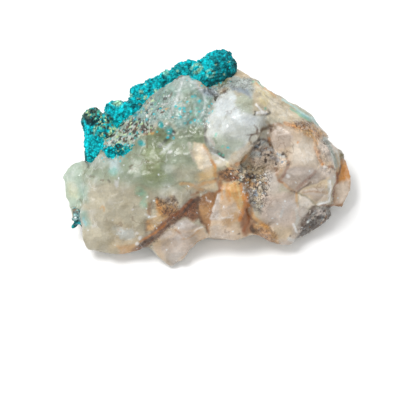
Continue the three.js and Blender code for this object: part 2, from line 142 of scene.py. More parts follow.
# Broad areas of the quartz, in the order they are laid on: colour, how soft the edge is, strength, outline.
AREAS = [
    ("beige", 2.0, 1.0, [(-26, -7), (-19, -5.5), (-14, -6.5), (-12.5, -9), (-12, -12), (-12.5, -16),
        (-14, -19.5), (-16.4, -21), (-24, -19.5), (-26, -15)]),
    ("sand", 1.6, 0.7, [(-18, -13), (-16.5, -14), (-13.5, -15.5), (-12.5, -18.5), (-16, -20.6),
        (-20, -19)]),
    ("pale_beige", 1.2, 0.7, [(-24, -12.6), (-20, -12), (-19.4, -16), (-21, -19.4), (-24.6, -18)]),
    ("grey_green", 1.5, 1.0, [(-26, 1), (-20, 3), (-13, 6), (-8, 5), (-1, 9), (0.4, 3), (2, -1), (2, -4.5),
        (-2, -6.4), (-6, -6.6), (-10, -7.5), (-14, -6), (-19, -5), (-25, -5)]),
    ("pale_grey_green", 1.0, 0.35, [(-25, -0.6), (-20.4, 1.4), (-19.6, -3.6), (-21, -5.4), (-25, -6)]),
    ("olive", 0.5, 0.95, [(-12.8, 4.8), (-9.6, 6.2), (-7.4, 5.4), (-7.2, 3.2), (-9.4, 1.4), (-12.6, 1.6)]),
    ("moss", 1.4, 0.7, [(-13.4, -1), (-9.5, -1), (-8, -4), (-9.6, -5.8), (-13, -5)]),
    ("moss", 1.0, 0.6, [(-13, 2.2), (-9.2, 2), (-8.8, -1.4), (-12.8, -1.8)]),
    ("olive", 0.6, 0.6, [(-3.8, 6.6), (-0.4, 7.4), (-0.4, 3.4), (-1.6, 2.2), (-3.8, 3)]),
    ("pale_grey_green", 1.0, 0.4, [(-8.4, 2), (-4, 3), (-2.6, 0.6), (-5, -0.6), (-8, -0.4)]),
    ("beige", 1.2, 0.7, [(-7, -2), (-2, -1.6), (1.6, -1.4), (1.8, -4.6), (-1, -5.4), (-6.4, -5.2)]),
    ("beige", 1.0, 0.6, [(-11, -6.4), (-7, -5.8), (-3.4, -6.2), (-3.2, -8), (-6, -8.4), (-10, -8.4)]),
    ("pale_mint", 0.8, 1.0, [(-25.6, 1), (-31, -4), (-31, -7), (-28, -11.4), (-25.6, -10), (-24.8, -3)]),
    ("butter", 0.8, 0.7, [(-28, -5.4), (-26.2, -5.6), (-26.4, -8.2), (-28.2, -8.4)]),
    ("mint", 0.9, 0.8, [(-26, -5.4), (-24.2, -6), (-24.2, -9), (-26, -9)]),
    ("mint", 0.8, 0.9, [(-26.2, -10.6), (-24.6, -11), (-23.6, -14), (-25, -14.4), (-25.6, -13)]),
    ("stone_grey", 0.7, 1.0, [(-18, 10), (-12, 9.5), (-11.5, 12.6), (-8.8, 14), (-8.2, 8), (-11, 6.6),
        (-14, 6.6), (-17, 5)]),
    ("peak_green", 0.8, 1.0, [(-9.4, 13.8), (-6, 17.6), (-2.6, 17.6), (-1.5, 14.2), (2, 13.4), (2, 11),
        (0.2, 9.4), (-0.5, 6.5), (-6, 5.8), (-8.5, 7.4), (-11, 7.5), (-10.4, 11)]),
    ("pale_grey", 0.7, 0.3, [(-8.4, 15.4), (-6.4, 17.4), (-3.2, 17.4), (-1.4, 14.8), (-3, 14), (-6, 13.4)]),
    ("grey_green", 0.9, 0.6, [(-4.4, 13.6), (-2.6, 13), (-3, 10), (-5.8, 9), (-6.4, 12)]),
    ("milky", 0.4, 1.0, [(1.8, 11.8), (3, 13), (5.6, 14.3), (6, 11), (8, 10), (9.6, 8.4), (11.8, 8.2),
        (12, 6.3), (10.3, 5.5), (9, 4.3), (8.3, 3), (8.8, 1), (7, -0.6), (5, -1.8), (3.4, -1), (1.4, 0.5),
        (0.2, 3), (-0.2, 6), (-0.1, 9)]),
    ("frost", 0.5, 0.95, [(2.2, 12), (5.6, 12.4), (5.9, 10), (7.8, 8.6), (10.6, 8), (9.6, 6.2), (6, 6.4),
        (4, 8.4), (0.8, 8.2), (1.4, 10)]),
    ("frost", 0.5, 0.5, [(0.8, 8), (4, 7.6), (6, 5.4), (3.4, 5), (0.6, 6.2)]),
    ("pale_grey_green", 0.7, 0.8, [(1, 4.2), (4, 4.4), (7.4, 3.2), (7.6, 0.6), (5, -1.4), (2.5, 0),
        (0.8, 2)]),
    ("grey_green", 0.7, 0.5, [(1.6, 2.6), (4, 2.4), (5, 0.8), (4.2, -0.6), (3, 0.4), (1.6, 1.2)]),
    ("sand", 0.4, 0.75, [(4.4, -0.4), (5.4, 1), (7.4, 1.8), (8.4, 3.4), (9.2, 3.2), (8.8, 1), (8.2, 0.2),
        (6.6, -1.2), (4.8, -1.9), (4, -1.4)]),
    ("pale_grey_green", 0.4, 0.8, [(5.9, 12), (7.4, 12.6), (9.4, 12), (9.4, 8.8), (8.4, 8.8), (7, 9.8),
        (5.9, 10)]),
    ("mist", 0.4, 0.9, [(4, 15.3), (6, 16.4), (8.8, 16.2), (9.8, 13.4), (9, 12.4), (6.4, 13.8), (5, 14.2),
        (4, 13.8), (2.4, 13.5), (0.4, 12), (-0.5, 13.4), (1.6, 14.4)]),
    ("sand", 0.7, 0.5, [(9.5, 15.6), (14, 12.6), (20, 9.2), (18, 7), (13, 8.4), (10, 9.6), (9.4, 13)]),
    ("pale_cream", 0.8, 0.6, [(12, 10.8), (16, 10), (18.4, 8.6), (15, 7.4), (12.4, 8.4)]),
    ("straw", 0.5, 0.7, [(9.8, 15.2), (12, 13.8), (13.4, 12.4), (12, 10), (11, 11), (10.2, 13)]),
    ("sand", 0.3, 0.8, [(6, 18.4), (8, 17.2), (8.8, 16), (6, 16.2), (5.2, 17)]),
    ("drab", 0.3, 0.7, [(1.4, 15.6), (4, 15.9), (3.9, 14.8), (3, 13.8), (2.2, 14)]),
    ("olive", 0.4, 0.3, [(0.2, 11.6), (2.2, 11.7), (2, 10.3), (1, 9.8), (0.3, 10)]),
    ("cream", 0.3, 0.95, [(-3.1, 2.9), (-0.8, 2.9), (0.1, 1.6), (0.8, -0.2), (1.7, -2), (0.4, -3),
        (-1.6, -2.2), (-2.6, -0.6), (-3, 0.4)]),
    ("pale_beige", 0.5, 0.7, [(-3, 2.7), (-1.5, 2.7), (-1.8, 0.8), (-2.9, 0.2)]),
    ("bright_cream", 0.4, 0.5, [(-1, 2.4), (-0.4, 2), (0.2, 0.6), (-0.8, 0.4)]),
    ("honey", 0.6, 0.8, [(0.4, -2.2), (1.8, -1.6), (2, -4.2), (-0.6, -4.8), (-2, -5), (-1.6, -3)]),
    ("sand", 0.5, 0.9, [(-3.6, -5.8), (-1, -5), (1.6, -4.8), (2, -6.2), (0, -6.8), (-2.6, -7.6)]),
    ("rosy", 0.6, 1.0, [(12.6, 6.3), (18, 7), (22, 6.2), (25, 4.6), (27, 1), (26.4, -2), (26, -3.4),
        (24, -5), (20, -6), (17.5, -7), (15.4, -4.6), (16.6, -2), (16.3, 0.5), (14, 1.5), (12.5, 3)]),
    ("pink_grey", 1.0, 0.7, [(13, 5.6), (17, 6), (17.6, 3.4), (15, 2.4), (13, 3)]),
    ("pale_rosy", 1.2, 0.95, [(17, 2.6), (20, 3.8), (22.4, 1), (22, -1.8), (17.2, -1.8)]),
    ("pale_lilac", 0.8, 0.8, [(22.8, 3.6), (24.4, 4.6), (26.2, 1.6), (26, -1.6), (24.4, -0.6), (23.4, 1)]),
    ("pale_lilac", 0.8, 0.8, [(22.6, -2.2), (25.6, -2.6), (26, -5), (24.8, -4.4), (22.4, -3.4)]),
    ("hazel", 0.7, 0.6, [(9.2, 2), (12, 2.4), (14, 1.6), (16.4, 0.3), (16.6, -1.6), (15.6, -4), (10, -2),
        (8, -1)]),
    ("bright_cream", 0.7, 0.85, [(9.8, 1), (12, 2), (14.8, 1), (16, -0.4), (15.4, -2.2), (11.8, -2.4),
        (9.4, -2)]),
    ("sand", 0.5, 0.9, [(8, -1.5), (12, -2), (12.8, -5), (12.5, -8), (10.5, -9.5), (8.6, -8), (9, -5.5),
        (7, -4)]),
    ("amber", 0.5, 0.7, [(7, -3.8), (8.2, -4.2), (10, -4.6), (10.2, -6), (8.4, -6.2), (7.4, -5.2)]),
    ("pale_lilac", 0.8, 0.8, [(11.6, -2.8), (14.2, -3), (15, -5.4), (15, -7.2), (12.6, -7.6), (11.8, -5)]),
    ("lilac", 0.5, 0.95, [(16, -2.3), (20, -1.8), (23, -3.4), (24.4, -4.2), (20, -6), (18.5, -7),
        (16.5, -6.8), (15, -4.8)]),
    ("pink_grey", 0.6, 1.0, [(11.6, -7), (14, -7.4), (16, -7), (18, -7.4), (18.4, -10), (19, -12),
        (18, -13.5), (18.3, -17), (16.5, -18.4), (14, -18.4), (12, -16), (10.5, -12.5), (11, -10)]),
    ("pale_lilac", 1.0, 0.6, [(13, -9), (16.6, -9), (17, -12), (14.6, -13.4), (12.4, -12)]),
    ("sand", 0.8, 0.7, [(12.4, -14.4), (17.4, -14), (17.6, -16.4), (14.4, -17.4)]),
    ("sand", 0.5, 1.0, [(18.6, -6.9), (22, -5.7), (24.6, -4.4), (25.5, -6), (25.3, -9.6), (22, -9.9),
        (21.4, -9)]),
    ("pink_grey", 0.8, 0.8, [(19.6, -7.2), (22, -6.2), (24, -5.6), (24, -8.6), (22, -9.2)]),
    ("pale_rosy", 0.2, 1.0, [(18.6, -7.6), (20.2, -8.3), (22.2, -9.9), (20, -10.6), (19.2, -10)]),
    ("pink_grey", 0.5, 0.8, [(17.8, -9), (19, -10), (20.6, -10.8), (20.2, -12.6), (18.4, -12.4)]),
    ("slate", 0.4, 0.75, [(21.4, -10.1), (25.5, -10), (26.3, -10.7), (24.8, -13), (22.2, -14.4),
        (21.7, -15.7), (20, -17), (18.1, -17), (18.5, -14.5), (19.2, -12.5), (20.8, -11.5)]),
    ("lilac", 0.5, 0.7, [(18.2, -12.2), (20.4, -12), (20.6, -13.6), (19, -15.6), (18.2, -15.4)]),
    ("pale_lilac", 0.4, 0.9, [(21.8, -10.7), (23.9, -10.8), (23.8, -12), (22, -12)]),
    ("nut", 0.4, 0.9, [(26.2, 3.6), (27.8, 2), (29.6, -0.8), (30.2, -2.5), (30, -6), (28.8, -9.8),
        (26.8, -11.2), (25.5, -9.9), (26, -5), (27, -1)]),
    ("amber", 1.0, 0.9, [(26.7, -1.4), (28.5, -1.2), (30, -3.2), (28.8, -5.4), (26.9, -5)]),
    ("orange", 0.7, 0.45, [(26.9, -1.8), (28.8, -1.8), (29.8, -3.4), (28.6, -5), (27, -4.6)]),
    ("bright_cream", 0.7, 0.9, [(26.2, -5.6), (28.6, -4.9), (29.2, -7), (28.2, -9.4), (26.2, -9.4)]),
    ("drab", 0.3, 0.9, [(26.1, 3), (27.6, 1.8), (28.6, 0), (27.2, -0.6), (26.4, 1)]),
    ("rosy", 0.25, 1.0, [(3.1, -5.3), (4.5, -4.9), (6.6, -5.1), (7.8, -6.5), (8.5, -9), (8.1, -11),
        (6.7, -13), (7.6, -15), (6.4, -17.4), (3, -17.2), (0, -16.6), (-0.2, -14), (0.8, -11.5),
        (2.2, -8)]),
    ("honey", 0.6, 1.0, [(3.4, -5.4), (6.5, -5.2), (7.8, -7.5), (8.2, -10.4), (6.4, -10.6), (4.6, -8)]),
    ("pale_gold", 0.9, 0.9, [(2.8, -8.6), (4.6, -8), (5.8, -9.4), (5.2, -11.2), (2.8, -11.8)]),
    ("pink_grey", 0.2, 0.95, [(2.3, -7.5), (2.9, -9), (2.2, -11), (2, -13), (0.5, -13.2), (1.2, -10.8)]),
    ("tan", 0.7, 0.7, [(2.4, -13.4), (3.8, -12.4), (5.6, -11.6), (7.4, -10.8), (6.6, -12.8), (4.6, -14.2)]),
    ("pale_lilac", 0.9, 0.5, [(1.4, -14.4), (4.4, -14.8), (5.8, -16.8), (1, -16.6)]),
    ("nut", 0.3, 0.95, [(-1.4, -7.8), (0, -7.2), (2.3, -6.6), (2.5, -4.8), (3.2, -4.6), (3, -7), (2, -8),
        (1.2, -10.5), (0.5, -13), (0.6, -15.4), (-1.4, -13.4), (-1.9, -10)]),
    ("tan", 0.6, 0.5, [(-1.2, -9.8), (0.8, -9.6), (0.2, -12.6), (-0.9, -12.6)]),
    ("tan", 0.4, 0.95, [(-10.2, -8.6), (-7, -8.2), (-5.8, -9.6), (-5.4, -11.6), (-8, -12.4), (-9, -13.4),
        (-9.6, -14.8), (-12.4, -15.4), (-12.6, -12.8), (-10.4, -12), (-10.2, -10.4)]),
    ("dun", 0.6, 0.9, [(-9, -8.2), (-6.6, -8), (-6, -9.4), (-7.6, -10), (-9, -9.6)]),
    ("nut", 0.5, 0.7, [(-9.2, -10.6), (-6.4, -10), (-5.6, -11.8), (-8, -12.4)]),
    ("fawn", 0.5, 0.6, [(-10, -11.4), (-9, -12.6), (-9.6, -14.2), (-11.4, -14.8), (-11.8, -13)]),
    ("rosy", 0.3, 1.0, [(-11.4, -18.4), (-9.6, -20.2), (-8.2, -23), (-6.8, -23), (-3.6, -19.8),
        (-1.6, -18.4), (0.2, -16.6), (-0.5, -14.5), (-3.8, -12.9), (-6.2, -13.4), (-8, -14.8),
        (-10, -16.4)]),
    ("lilac", 0.3, 0.95, [(-6.2, -13.4), (-3.8, -12.8), (-2.6, -13.4), (-1.2, -14), (-2.3, -14.6),
        (-3.8, -15.4), (-5.6, -15)]),
    ("pale_lilac", 0.4, 0.8, [(-10.4, -16.6), (-7.5, -14.8), (-7, -15.6), (-9, -17)]),
    ("slate", 0.6, 0.2, [(-6.4, -13.2), (-3.6, -12.6), (-1, -14), (-1, -15.6), (-5.6, -15.6)]),
    ("tan", 0.6, 0.3, [(-5.4, -15.6), (-1, -14.8), (-0.5, -15.8), (-2.5, -17.4), (-5, -17)]),
    ("pink_grey", 0.6, 0.95, [(-9.4, -17.6), (-7.4, -22), (-1.8, -18), (-2, -15.8), (-6, -15)]),
    ("pale_grey", 1.0, 0.35, [(-9, -19.4), (-5, -18.6), (-4, -20), (-7, -22.6), (-8.4, -22)]),
    ("cocoa", 0.4, 0.9, [(-4.7, -10.2), (-2.2, -9.1), (-1.4, -12.6), (-3, -12.9), (-4.5, -12.3),
        (-5.6, -12.4)]),
    ("nut", 0.4, 0.95, [(2, -3), (4, -2.5), (6, -3.2), (5, -4), (4.4, -5.2), (2.4, -4.6)]),
    ("rust", 0.35, 0.9, [(4.4, -4.9), (4.8, -3.8), (6.3, -3.5), (6.5, -4.7)]),
    ("pale_cream", 0.3, 0.9, [(0.8, 0.8), (2.2, 0.3), (3.6, -0.7), (4.6, -1.6), (3.6, -2), (2, -2),
        (1.2, -1.2), (0.6, 0)]),
    ("pale_gold", 0.4, 0.7, [(4.2, -1.6), (6.4, -1.6), (6.4, -2.4), (4.4, -2.6)]),
    ("pale_grey_green", 0.25, 0.9, [(-14.8, -0.6), (-13.2, -0.8), (-13.4, -2.2), (-14, -4.4), (-15, -5),
        (-14.7, -3), (-16, -2.9), (-14.9, -1.6)]),
    ("pale_grey", 0.2, 0.8, [(-18.8, -4.5), (-17.9, -4.6), (-17.8, -6.2), (-18.3, -6.5)]),
    ("pale_blue", 0.7, 0.8, [(-20, -0.4), (-18, -0.6), (-17.6, -3), (-19.4, -3.8)]),
    ("tan", 0.4, 0.9, [(9.4, -13.4), (12.6, -13.6), (13, -15), (14.4, -16.2), (14.4, -18.4), (12, -17.8),
        (9.6, -16.4), (8.8, -15.2)]),
    ("hazel", 0.6, 0.7, [(9.4, -13.8), (12.8, -15), (13.6, -17.4), (11, -16.8)]),
    ("rust", 0.5, 0.6, [(8.2, -11.2), (10, -13.2), (9, -15.4), (7.6, -15.8), (6.8, -13), (7.6, -11.4)]),
    ("tan", 0.7, 0.75, [(17, 7.6), (20, 7), (22.6, 6), (24, 4.4), (22.4, 3.4), (20, 5), (17.6, 5.6)]),
    ("pale_grey_green", 0.4, 0.8, [(17.4, 10.8), (20, 9.6), (22.6, 8), (22, 7.4), (18.6, 9.4)]),
    ("blue_grey", 0.5, 0.8, [(-2, 15), (-0.6, 14.2), (1.4, 13.6), (2.8, 12.6), (1.4, 11.9), (-0.6, 12.6)]),
    ("blue_grey", 0.4, 0.85, [(4.2, 14.6), (6.4, 14.4), (8.4, 13.4), (9, 11.8), (7.6, 12.6), (5.6, 13.6)]),
    ("olive", 0.25, 0.7, [(1.4, 15.6), (4.2, 16), (3.9, 14.4), (2.6, 13.9), (1.2, 14.6)]),
    ("pink_grey", 0.3, 0.7, [(12.8, 5.8), (15.6, 6), (17.6, 4), (16.6, 1.8), (13.6, 1.6), (12.6, 3.6)]),
    ("pale_lilac", 0.5, 0.6, [(16, -2.6), (20.6, -2), (23, -2.6), (21, -3.6), (16.6, -3.8)]),
    ("frost", 0.4, 0.25, [(-23.4, 0.2), (-20, 1), (-19.6, -1.4), (-22.6, -2.4), (-24.2, -1.6)]),
    ("milky", 0.3, 0.7, [(-17.4, -14.6), (-15, -14.8), (-14.6, -16.4), (-17, -17), (-18.6, -16)]),
    ("honey", 0.6, 0.6, [(18.4, 6.4), (20.6, 6.4), (22.6, 5.2), (22.4, 3.8), (20, 4.6)]),
    ("amber", 0.4, 0.5, [(-18.4, -18.2), (-14.6, -17.4), (-14.6, -19.4), (-17.4, -20.4)]),
]

# Veins, cracks and streaks on the quartz: colour, half width, strength, points.
STREAKS = [
    ("cocoa", 0.8, 0.95, [(-14.4, -19.4), (-12.6, -17.5), (-11, -16.3), (-9.4, -14.8), (-7.8, -13.4),
        (-6, -12.2), (-4.5, -11), (-3.6, -9.9), (-2.2, -8.7)]),
    ("rust", 0.5, 0.4, [(-10.4, -15.6), (-8, -13.6), (-5.8, -12)]),
    ("rust", 0.3, 0.8, [(-9.8, -14.4), (-7.8, -12.8), (-6.4, -11.8), (-4.4, -10), (-3.2, -8.8)]),
    ("umber", 0.25, 0.7, [(-13.4, -18.8), (-11, -16.8), (-9, -14.9), (-7, -13.2), (-5, -12.2)]),
    ("orange", 0.16, 0.7, [(-13.6, -17.2), (-12, -16.4), (-10.4, -15.4), (-8.4, -13.6)]),
    ("dark_umber", 0.3, 0.85, [(-13.6, -18), (-12.2, -17.1), (-11.2, -16.5)]),
    ("dark_umber", 0.25, 0.85, [(-4.6, -10.9), (-3.6, -9.8), (-2.2, -8.6), (-1.8, -8.4)]),
    ("umber", 0.3, 0.85, [(-1.8, -8.4), (-1.9, -10), (-1.5, -12), (-1.2, -13.2)]),
    ("umber", 0.22, 0.7, [(-1.2, -13.2), (-0.3, -13.8), (0, -15.2)]),
    ("rust", 0.35, 0.75, [(-8.6, -11.2), (-7, -11.9), (-5.6, -11.8)]),
    ("rust", 0.2, 0.8, [(-6.2, -11.6), (-4.5, -10.2)]),
    ("umber", 0.3, 0.5, [(-12.4, -15.8), (-12.5, -14), (-12.7, -12.8)]),
    ("orange", 0.2, 0.9, [(-10.1, -8.8), (-9.9, -9.8), (-9.5, -10.4)]),
    ("amber", 0.3, 0.6, [(-10, -10.4), (-9.4, -11.4), (-8.6, -12)]),
    ("umber", 0.12, 0.8, [(-6.8, -7.9), (-6.3, -8.6), (-6, -9.4)]),
    ("drab", 0.15, 0.6, [(-9, -6.1), (-6.6, -5.8), (-5.6, -4.9), (-3.6, -5.2)]),
    ("rust", 0.2, 0.7, [(-3.2, -7.8), (-2.4, -7.5), (-1.8, -7.2)]),
    ("amber", 0.3, 0.7, [(-0.6, 2.4), (0.1, 1.3), (0.7, -0.2), (1.6, -1.8), (1.8, -4)]),
    ("orange", 0.2, 0.6, [(0.8, -0.8), (1.3, -1.5), (1.8, -2.2)]),
    ("rust", 0.25, 0.8, [(1.9, -4.6), (2.5, -5.8), (2.6, -7)]),
    ("amber", 0.3, 0.6, [(1.6, -5), (-0.4, -5.2), (-1.6, -5.8)]),
    ("orange", 0.25, 0.8, [(4.2, -5.6), (4.4, -6.8), (4.8, -8)]),
    ("orange", 0.22, 0.8, [(5.6, -5.4), (5.9, -7), (6.4, -8.4)]),
    ("orange", 0.3, 0.8, [(6.9, -5.6), (7.3, -7.2), (7.7, -9)]),
    ("amber", 0.25, 0.7, [(3.3, -5.8), (3, -7), (3.2, -8.6)]),
    ("rust", 0.22, 0.8, [(7.5, -5), (8, -7.2), (8.3, -9.4)]),
    ("red_brown", 0.5, 0.8, [(8.1, -9.6), (7.5, -11.2), (6.9, -12.4), (7.3, -14), (7.7, -16)]),
    ("rust", 0.6, 0.5, [(8.6, -11.6), (7.8, -13), (8.6, -14.4)]),
    ("umber", 0.2, 0.7, [(8.2, -11.4), (9, -12.4), (10, -13.2)]),
    ("rust", 0.35, 0.6, [(8.7, -6.2), (8.3, -8), (8.8, -9.8), (9, -11.6)]),
    ("dark_umber", 0.3, 0.9, [(9.2, -14.1), (9.2, -14.8), (9.4, -15.4)]),
    ("dark_umber", 0.35, 0.75, [(9.6, -14.9), (10.4, -15.1), (11.2, -14.8)]),
    ("rust", 0.3, 0.6, [(9.8, -15.9), (11.6, -16.6), (13.2, -17.6)]),
    ("ink", 0.1, 0.85, [(10.4, -4.9), (11, -5.8), (11.4, -6.4), (11.6, -7.4)]),
    ("ink", 0.1, 0.8, [(11.3, -5), (10.7, -5.5), (10.3, -6.3)]),
    ("ink", 0.1, 0.8, [(11.4, -5.4), (12.1, -6.4)]),
    ("ink", 0.1, 0.7, [(10.5, -6.6), (11, -7), (11.2, -7.6)]),
    ("ink", 0.12, 0.7, [(8.6, -7.3), (9.3, -6.8), (9.8, -7.2), (10.6, -8)]),
    ("slate", 0.4, 0.6, [(8.9, -7.6), (9.2, -8.6), (9.3, -9.8)]),
    ("slate", 0.3, 0.6, [(10.8, -8.8), (10.9, -10), (10.7, -11.6)]),
    ("navy", 0.28, 0.95, [(8.2, -4), (9, -4), (9.8, -4.2)]),
    ("ink", 0.14, 0.85, [(6.8, -5), (7.8, -5.2), (8.6, -5.4)]),
    ("navy", 0.2, 0.85, [(6.8, -1.6), (7, -2.4), (6.9, -3)]),
    ("ink", 0.14, 0.8, [(2.6, -3.6), (3.4, -3.2), (4, -2.7)]),
    ("ink", 0.12, 0.7, [(4, -4.4), (4.4, -3.8), (5, -4.2)]),
    ("orange", 0.2, 0.7, [(4.4, -2.4), (5.4, -2.6), (6.6, -3.2)]),
    ("orange", 0.25, 0.6, [(6, -1.6), (7.4, -0.8), (8, 0.2)]),
    ("slate", 0.35, 0.85, [(9.3, 0.9), (9.6, 1.6), (10.2, 2.2), (10.8, 3.4)]),
    ("ink", 0.2, 0.7, [(10, 1.9), (10.5, 1.4), (11, 1.1)]),
    ("pale_blue", 0.45, 0.8, [(9.3, 0.2), (10.5, 0.5)]),
    ("blue_grey", 0.35, 0.7, [(11.4, 1.5), (12.4, 1.6), (13.4, 1.3)]),
    ("dull_blue", 0.35, 0.7, [(13.2, 0), (14.4, -0.7)]),
    ("frost", 0.25, 0.85, [(15, 0.4), (15.7, 0)]),
    ("ink", 0.18, 0.85, [(14.2, 0.4), (14.8, 0.3)]),
    ("ink", 0.12, 0.8, [(15.4, 0.9), (16, 0.3), (16.3, -0.4)]),
    ("rust", 0.25, 0.6, [(16.4, -0.6), (16.5, -2), (15.8, -3.6), (14.8, -4.6)]),
    ("umber", 0.1, 0.8, [(8.2, 4.4), (9.4, 4.5), (10.2, 4.8), (10.3, 5.6)]),
    ("umber", 0.14, 0.85, [(10.2, 4.7), (11.2, 5.2), (12, 5.7), (12.9, 5.6), (13.1, 5)]),
    ("slate", 0.14, 0.85, [(10.6, 3.8), (10.8, 2.6), (9.8, 2)]),
    ("ink", 0.1, 0.8, [(11.8, 3.2), (12.3, 3.2)]),
    ("orange", 0.25, 0.7, [(12.6, 3.6), (12.8, 2.5)]),
    ("rust", 0.15, 0.5, [(12.4, 6.6), (13.4, 6.4), (15, 6.4)]),
    ("umber", 0.4, 0.7, [(18.2, 7), (19.4, 6.6), (20.8, 6.8)]),
    ("rust", 0.4, 0.65, [(19, 6), (20.6, 5.7), (22, 5), (22.6, 4)]),
    ("orange", 0.3, 0.6, [(15.8, 7), (17, 6.4), (18, 6.2)]),
    ("amber", 0.3, 0.6, [(20, 4.6), (21.6, 4), (22.2, 2.6)]),
    ("rust", 0.25, 0.7, [(22.7, 1.2), (22.9, 0.6)]),
    ("orange", 0.25, 0.55, [(22, 2), (22.6, 0), (23.6, -1.6)]),
    ("rust", 0.25, 0.8, [(24.9, -2.1), (25.6, -2.1)]),
    ("dark_umber", 0.15, 0.8, [(25.5, -2.3), (26, -2.6)]),
    ("turquoise", 0.25, 0.7, [(-25.1, -12.5), (-24.9, -13.2), (-24.7, -13.8)]),
    ("orange", 0.3, 0.7, [(8.3, -7.6), (8.2, -9), (8.4, -10)]),
    ("stone_grey", 0.35, 0.7, [(24, 3.6), (25.2, 1.6), (26, -0.6), (26.2, -1.8)]),
    ("milky", 0.18, 0.85, [(26.1, 1.4), (26.8, -0.4), (27, -2.2)]),
    ("umber", 0.14, 0.85, [(27.2, -1.8), (26.8, -3.4), (26.4, -4.4)]),
    ("rust", 0.2, 0.8, [(26.4, -3.4), (26.4, -5), (25.8, -6.6), (25.6, -8)]),
    ("umber", 0.15, 0.75, [(25.8, -6.2), (25.5, -7.2), (25.6, -8.8), (25.2, -9.8)]),
    ("rust", 0.2, 0.6, [(23, -9.7), (24.4, -9.9), (25.6, -9.9)]),
    ("amber", 0.2, 0.45, [(15, -5.1), (15.6, -5.4), (16.6, -6.4), (18.2, -7.1)]),
    ("rust", 0.22, 0.8, [(14.8, -5), (15.3, -5.2)]),
    ("dark_umber", 0.14, 0.8, [(17.9, -7.1), (18.3, -7.4)]),
    ("amber", 0.2, 0.6, [(18.2, -7.4), (18.3, -8.8), (18.6, -10)]),
    ("slate", 0.12, 0.6, [(18.4, -7), (20, -6), (22, -5.3), (24, -4.4)]),
    ("drab", 0.12, 0.7, [(18.5, -7.3), (20.2, -8.2), (21.6, -9.2), (22.4, -9.9)]),
    ("slate", 0.2, 0.5, [(19.6, -5), (21, -4.2), (22, -3.6)]),
    ("umber", 0.4, 0.8, [(21.7, -10.3), (21, -11.4), (20.2, -12.5), (19.4, -13.8)]),
    ("ink", 0.45, 0.75, [(22, -14), (20.6, -14.6), (19.6, -15.6), (18.9, -16.4)]),
    ("dark_umber", 0.25, 0.8, [(24.8, -12.2), (23.6, -13.2), (22, -14)]),
    ("dark_umber", 0.25, 0.9, [(22, -14.6), (21.2, -16), (18.5, -16.9)]),
    ("umber", 0.15, 0.6, [(22, -10), (24, -9.9), (25.4, -10.4)]),
    # Three pale marks on the lower right lump: painted highlights.
    ("white", 0.12, 0.9, [(17.6, -13.6), (18, -14.4), (18.2, -15.2)]),
    ("frost", 0.3, 0.7, [(16.6, -16.6), (17.8, -16.9)]),
    ("frost", 0.22, 0.7, [(15.4, -10.8), (14.9, -12)]),
    ("milky", 0.3, 0.8, [(24.8, -5), (25, -7), (24.8, -9.2), (23, -9.3)]),
    # Dark lines along the crease beside the milky lump: painted shade.
    ("ink", 0.1, 0.6, [(-0.4, 6), (-0.4, 4.2), (0, 2.6)]),
    ("slate", 0.2, 0.5, [(-0.6, 7), (-0.5, 5), (-0.2, 3)]),
    ("amber", 0.18, 0.7, [(10, 15), (12, 13.7), (14, 12.4)]),
    ("film", 0.22, 0.9, [(15.4, 11.6), (16.6, 10.9), (17.8, 10.1), (19, 9.1), (20.4, 8.3), (21.8, 7.6),
        (23, 6.8)]),
    ("turquoise", 0.17, 0.55, [(18.2, 9.3), (21, 7.6), (23, 6.4), (24.5, 5.1), (25.8, 3.3)]),
    ("teal", 0.16, 0.9, [(24.8, 4.7), (25.8, 3.4)]),
    ("teal", 0.14, 0.9, [(6.3, 18.1), (7, 17.8), (7.9, 17.1)]),
    ("slate", 0.2, 0.5, [(4.6, 14.4), (6.4, 14.3), (7.6, 14.9)]),
    ("slate", 0.3, 0.5, [(0.6, 13.6), (1.4, 12.4), (2.2, 12.4)]),
    ("slate", 0.15, 0.5, [(7.6, 13.6), (8.4, 12.6), (8.9, 12)]),
    ("ink", 0.1, 0.9, [(9.9, 9.3), (10, 8.8), (9.7, 8.5)]),
    ("white", 0.25, 1.0, [(10.3, 8.9), (11.2, 9), (12, 8.9)]),
    ("ink", 0.16, 0.85, [(12.2, 8.7), (12.8, 9), (12.5, 9.5)]),
    ("slate", 0.12, 0.7, [(11.2, 8.4), (12.2, 8.6)]),
    ("dark_umber", 0.16, 0.85, [(-6, 15.8), (-5.5, 16.3), (-5, 16.5)]),
    ("umber", 0.12, 0.8, [(-7.6, 12.1), (-7.2, 12.9)]),
    ("white", 0.16, 0.8, [(-9, 10.8), (-8, 10.8)]),
    ("amber", 0.12, 0.7, [(-8.8, 9.6), (-8, 9.9)]),
    ("teal", 0.5, 1.0, [(-9.3, 6.7), (-9.1, 6.4)]),
    ("teal", 0.6, 1.0, [(-7.9, 5.8), (-7.3, 5)]),
    ("teal", 0.4, 1.0, [(-13.6, 3), (-13, 2.6)]),
    ("black_green", 0.3, 0.9, [(-9.6, 2.2), (-8.2, 3.5), (-6.6, 4.9)]),
    ("dark_umber", 0.2, 0.85, [(-6.5, 4.9), (-6.9, 5.3)]),
    ("dark_umber", 0.35, 0.9, [(-15.4, 4.3), (-13.8, 4.9), (-12.2, 5.4), (-11, 5.8)]),
    ("amber", 0.2, 0.8, [(-15.6, 3.7), (-14.4, 4), (-12.6, 4.6), (-11, 4.9)]),
    ("olive_brown", 0.25, 0.7, [(-12.4, 3.4), (-12.2, 2)]),
    ("olive_brown", 0.18, 0.8, [(-10.2, 4.4), (-9.5, 4.5)]),
    ("umber", 0.2, 0.7, [(-4, 6.6), (-3.3, 7.6)]),
    ("umber", 0.16, 0.6, [(-3.2, 6.4), (-2.6, 6.1)]),
    ("umber", 0.14, 0.8, [(-21.6, -4.7), (-21.1, -4.7)]),
    ("dark_umber", 0.14, 0.85, [(-20, -4.8), (-19.6, -5.2)]),
    ("umber", 0.1, 0.6, [(-24, -3.9), (-22.8, -4)]),
    ("umber", 0.16, 0.7, [(-15.7, -2), (-15.2, -1.7)]),
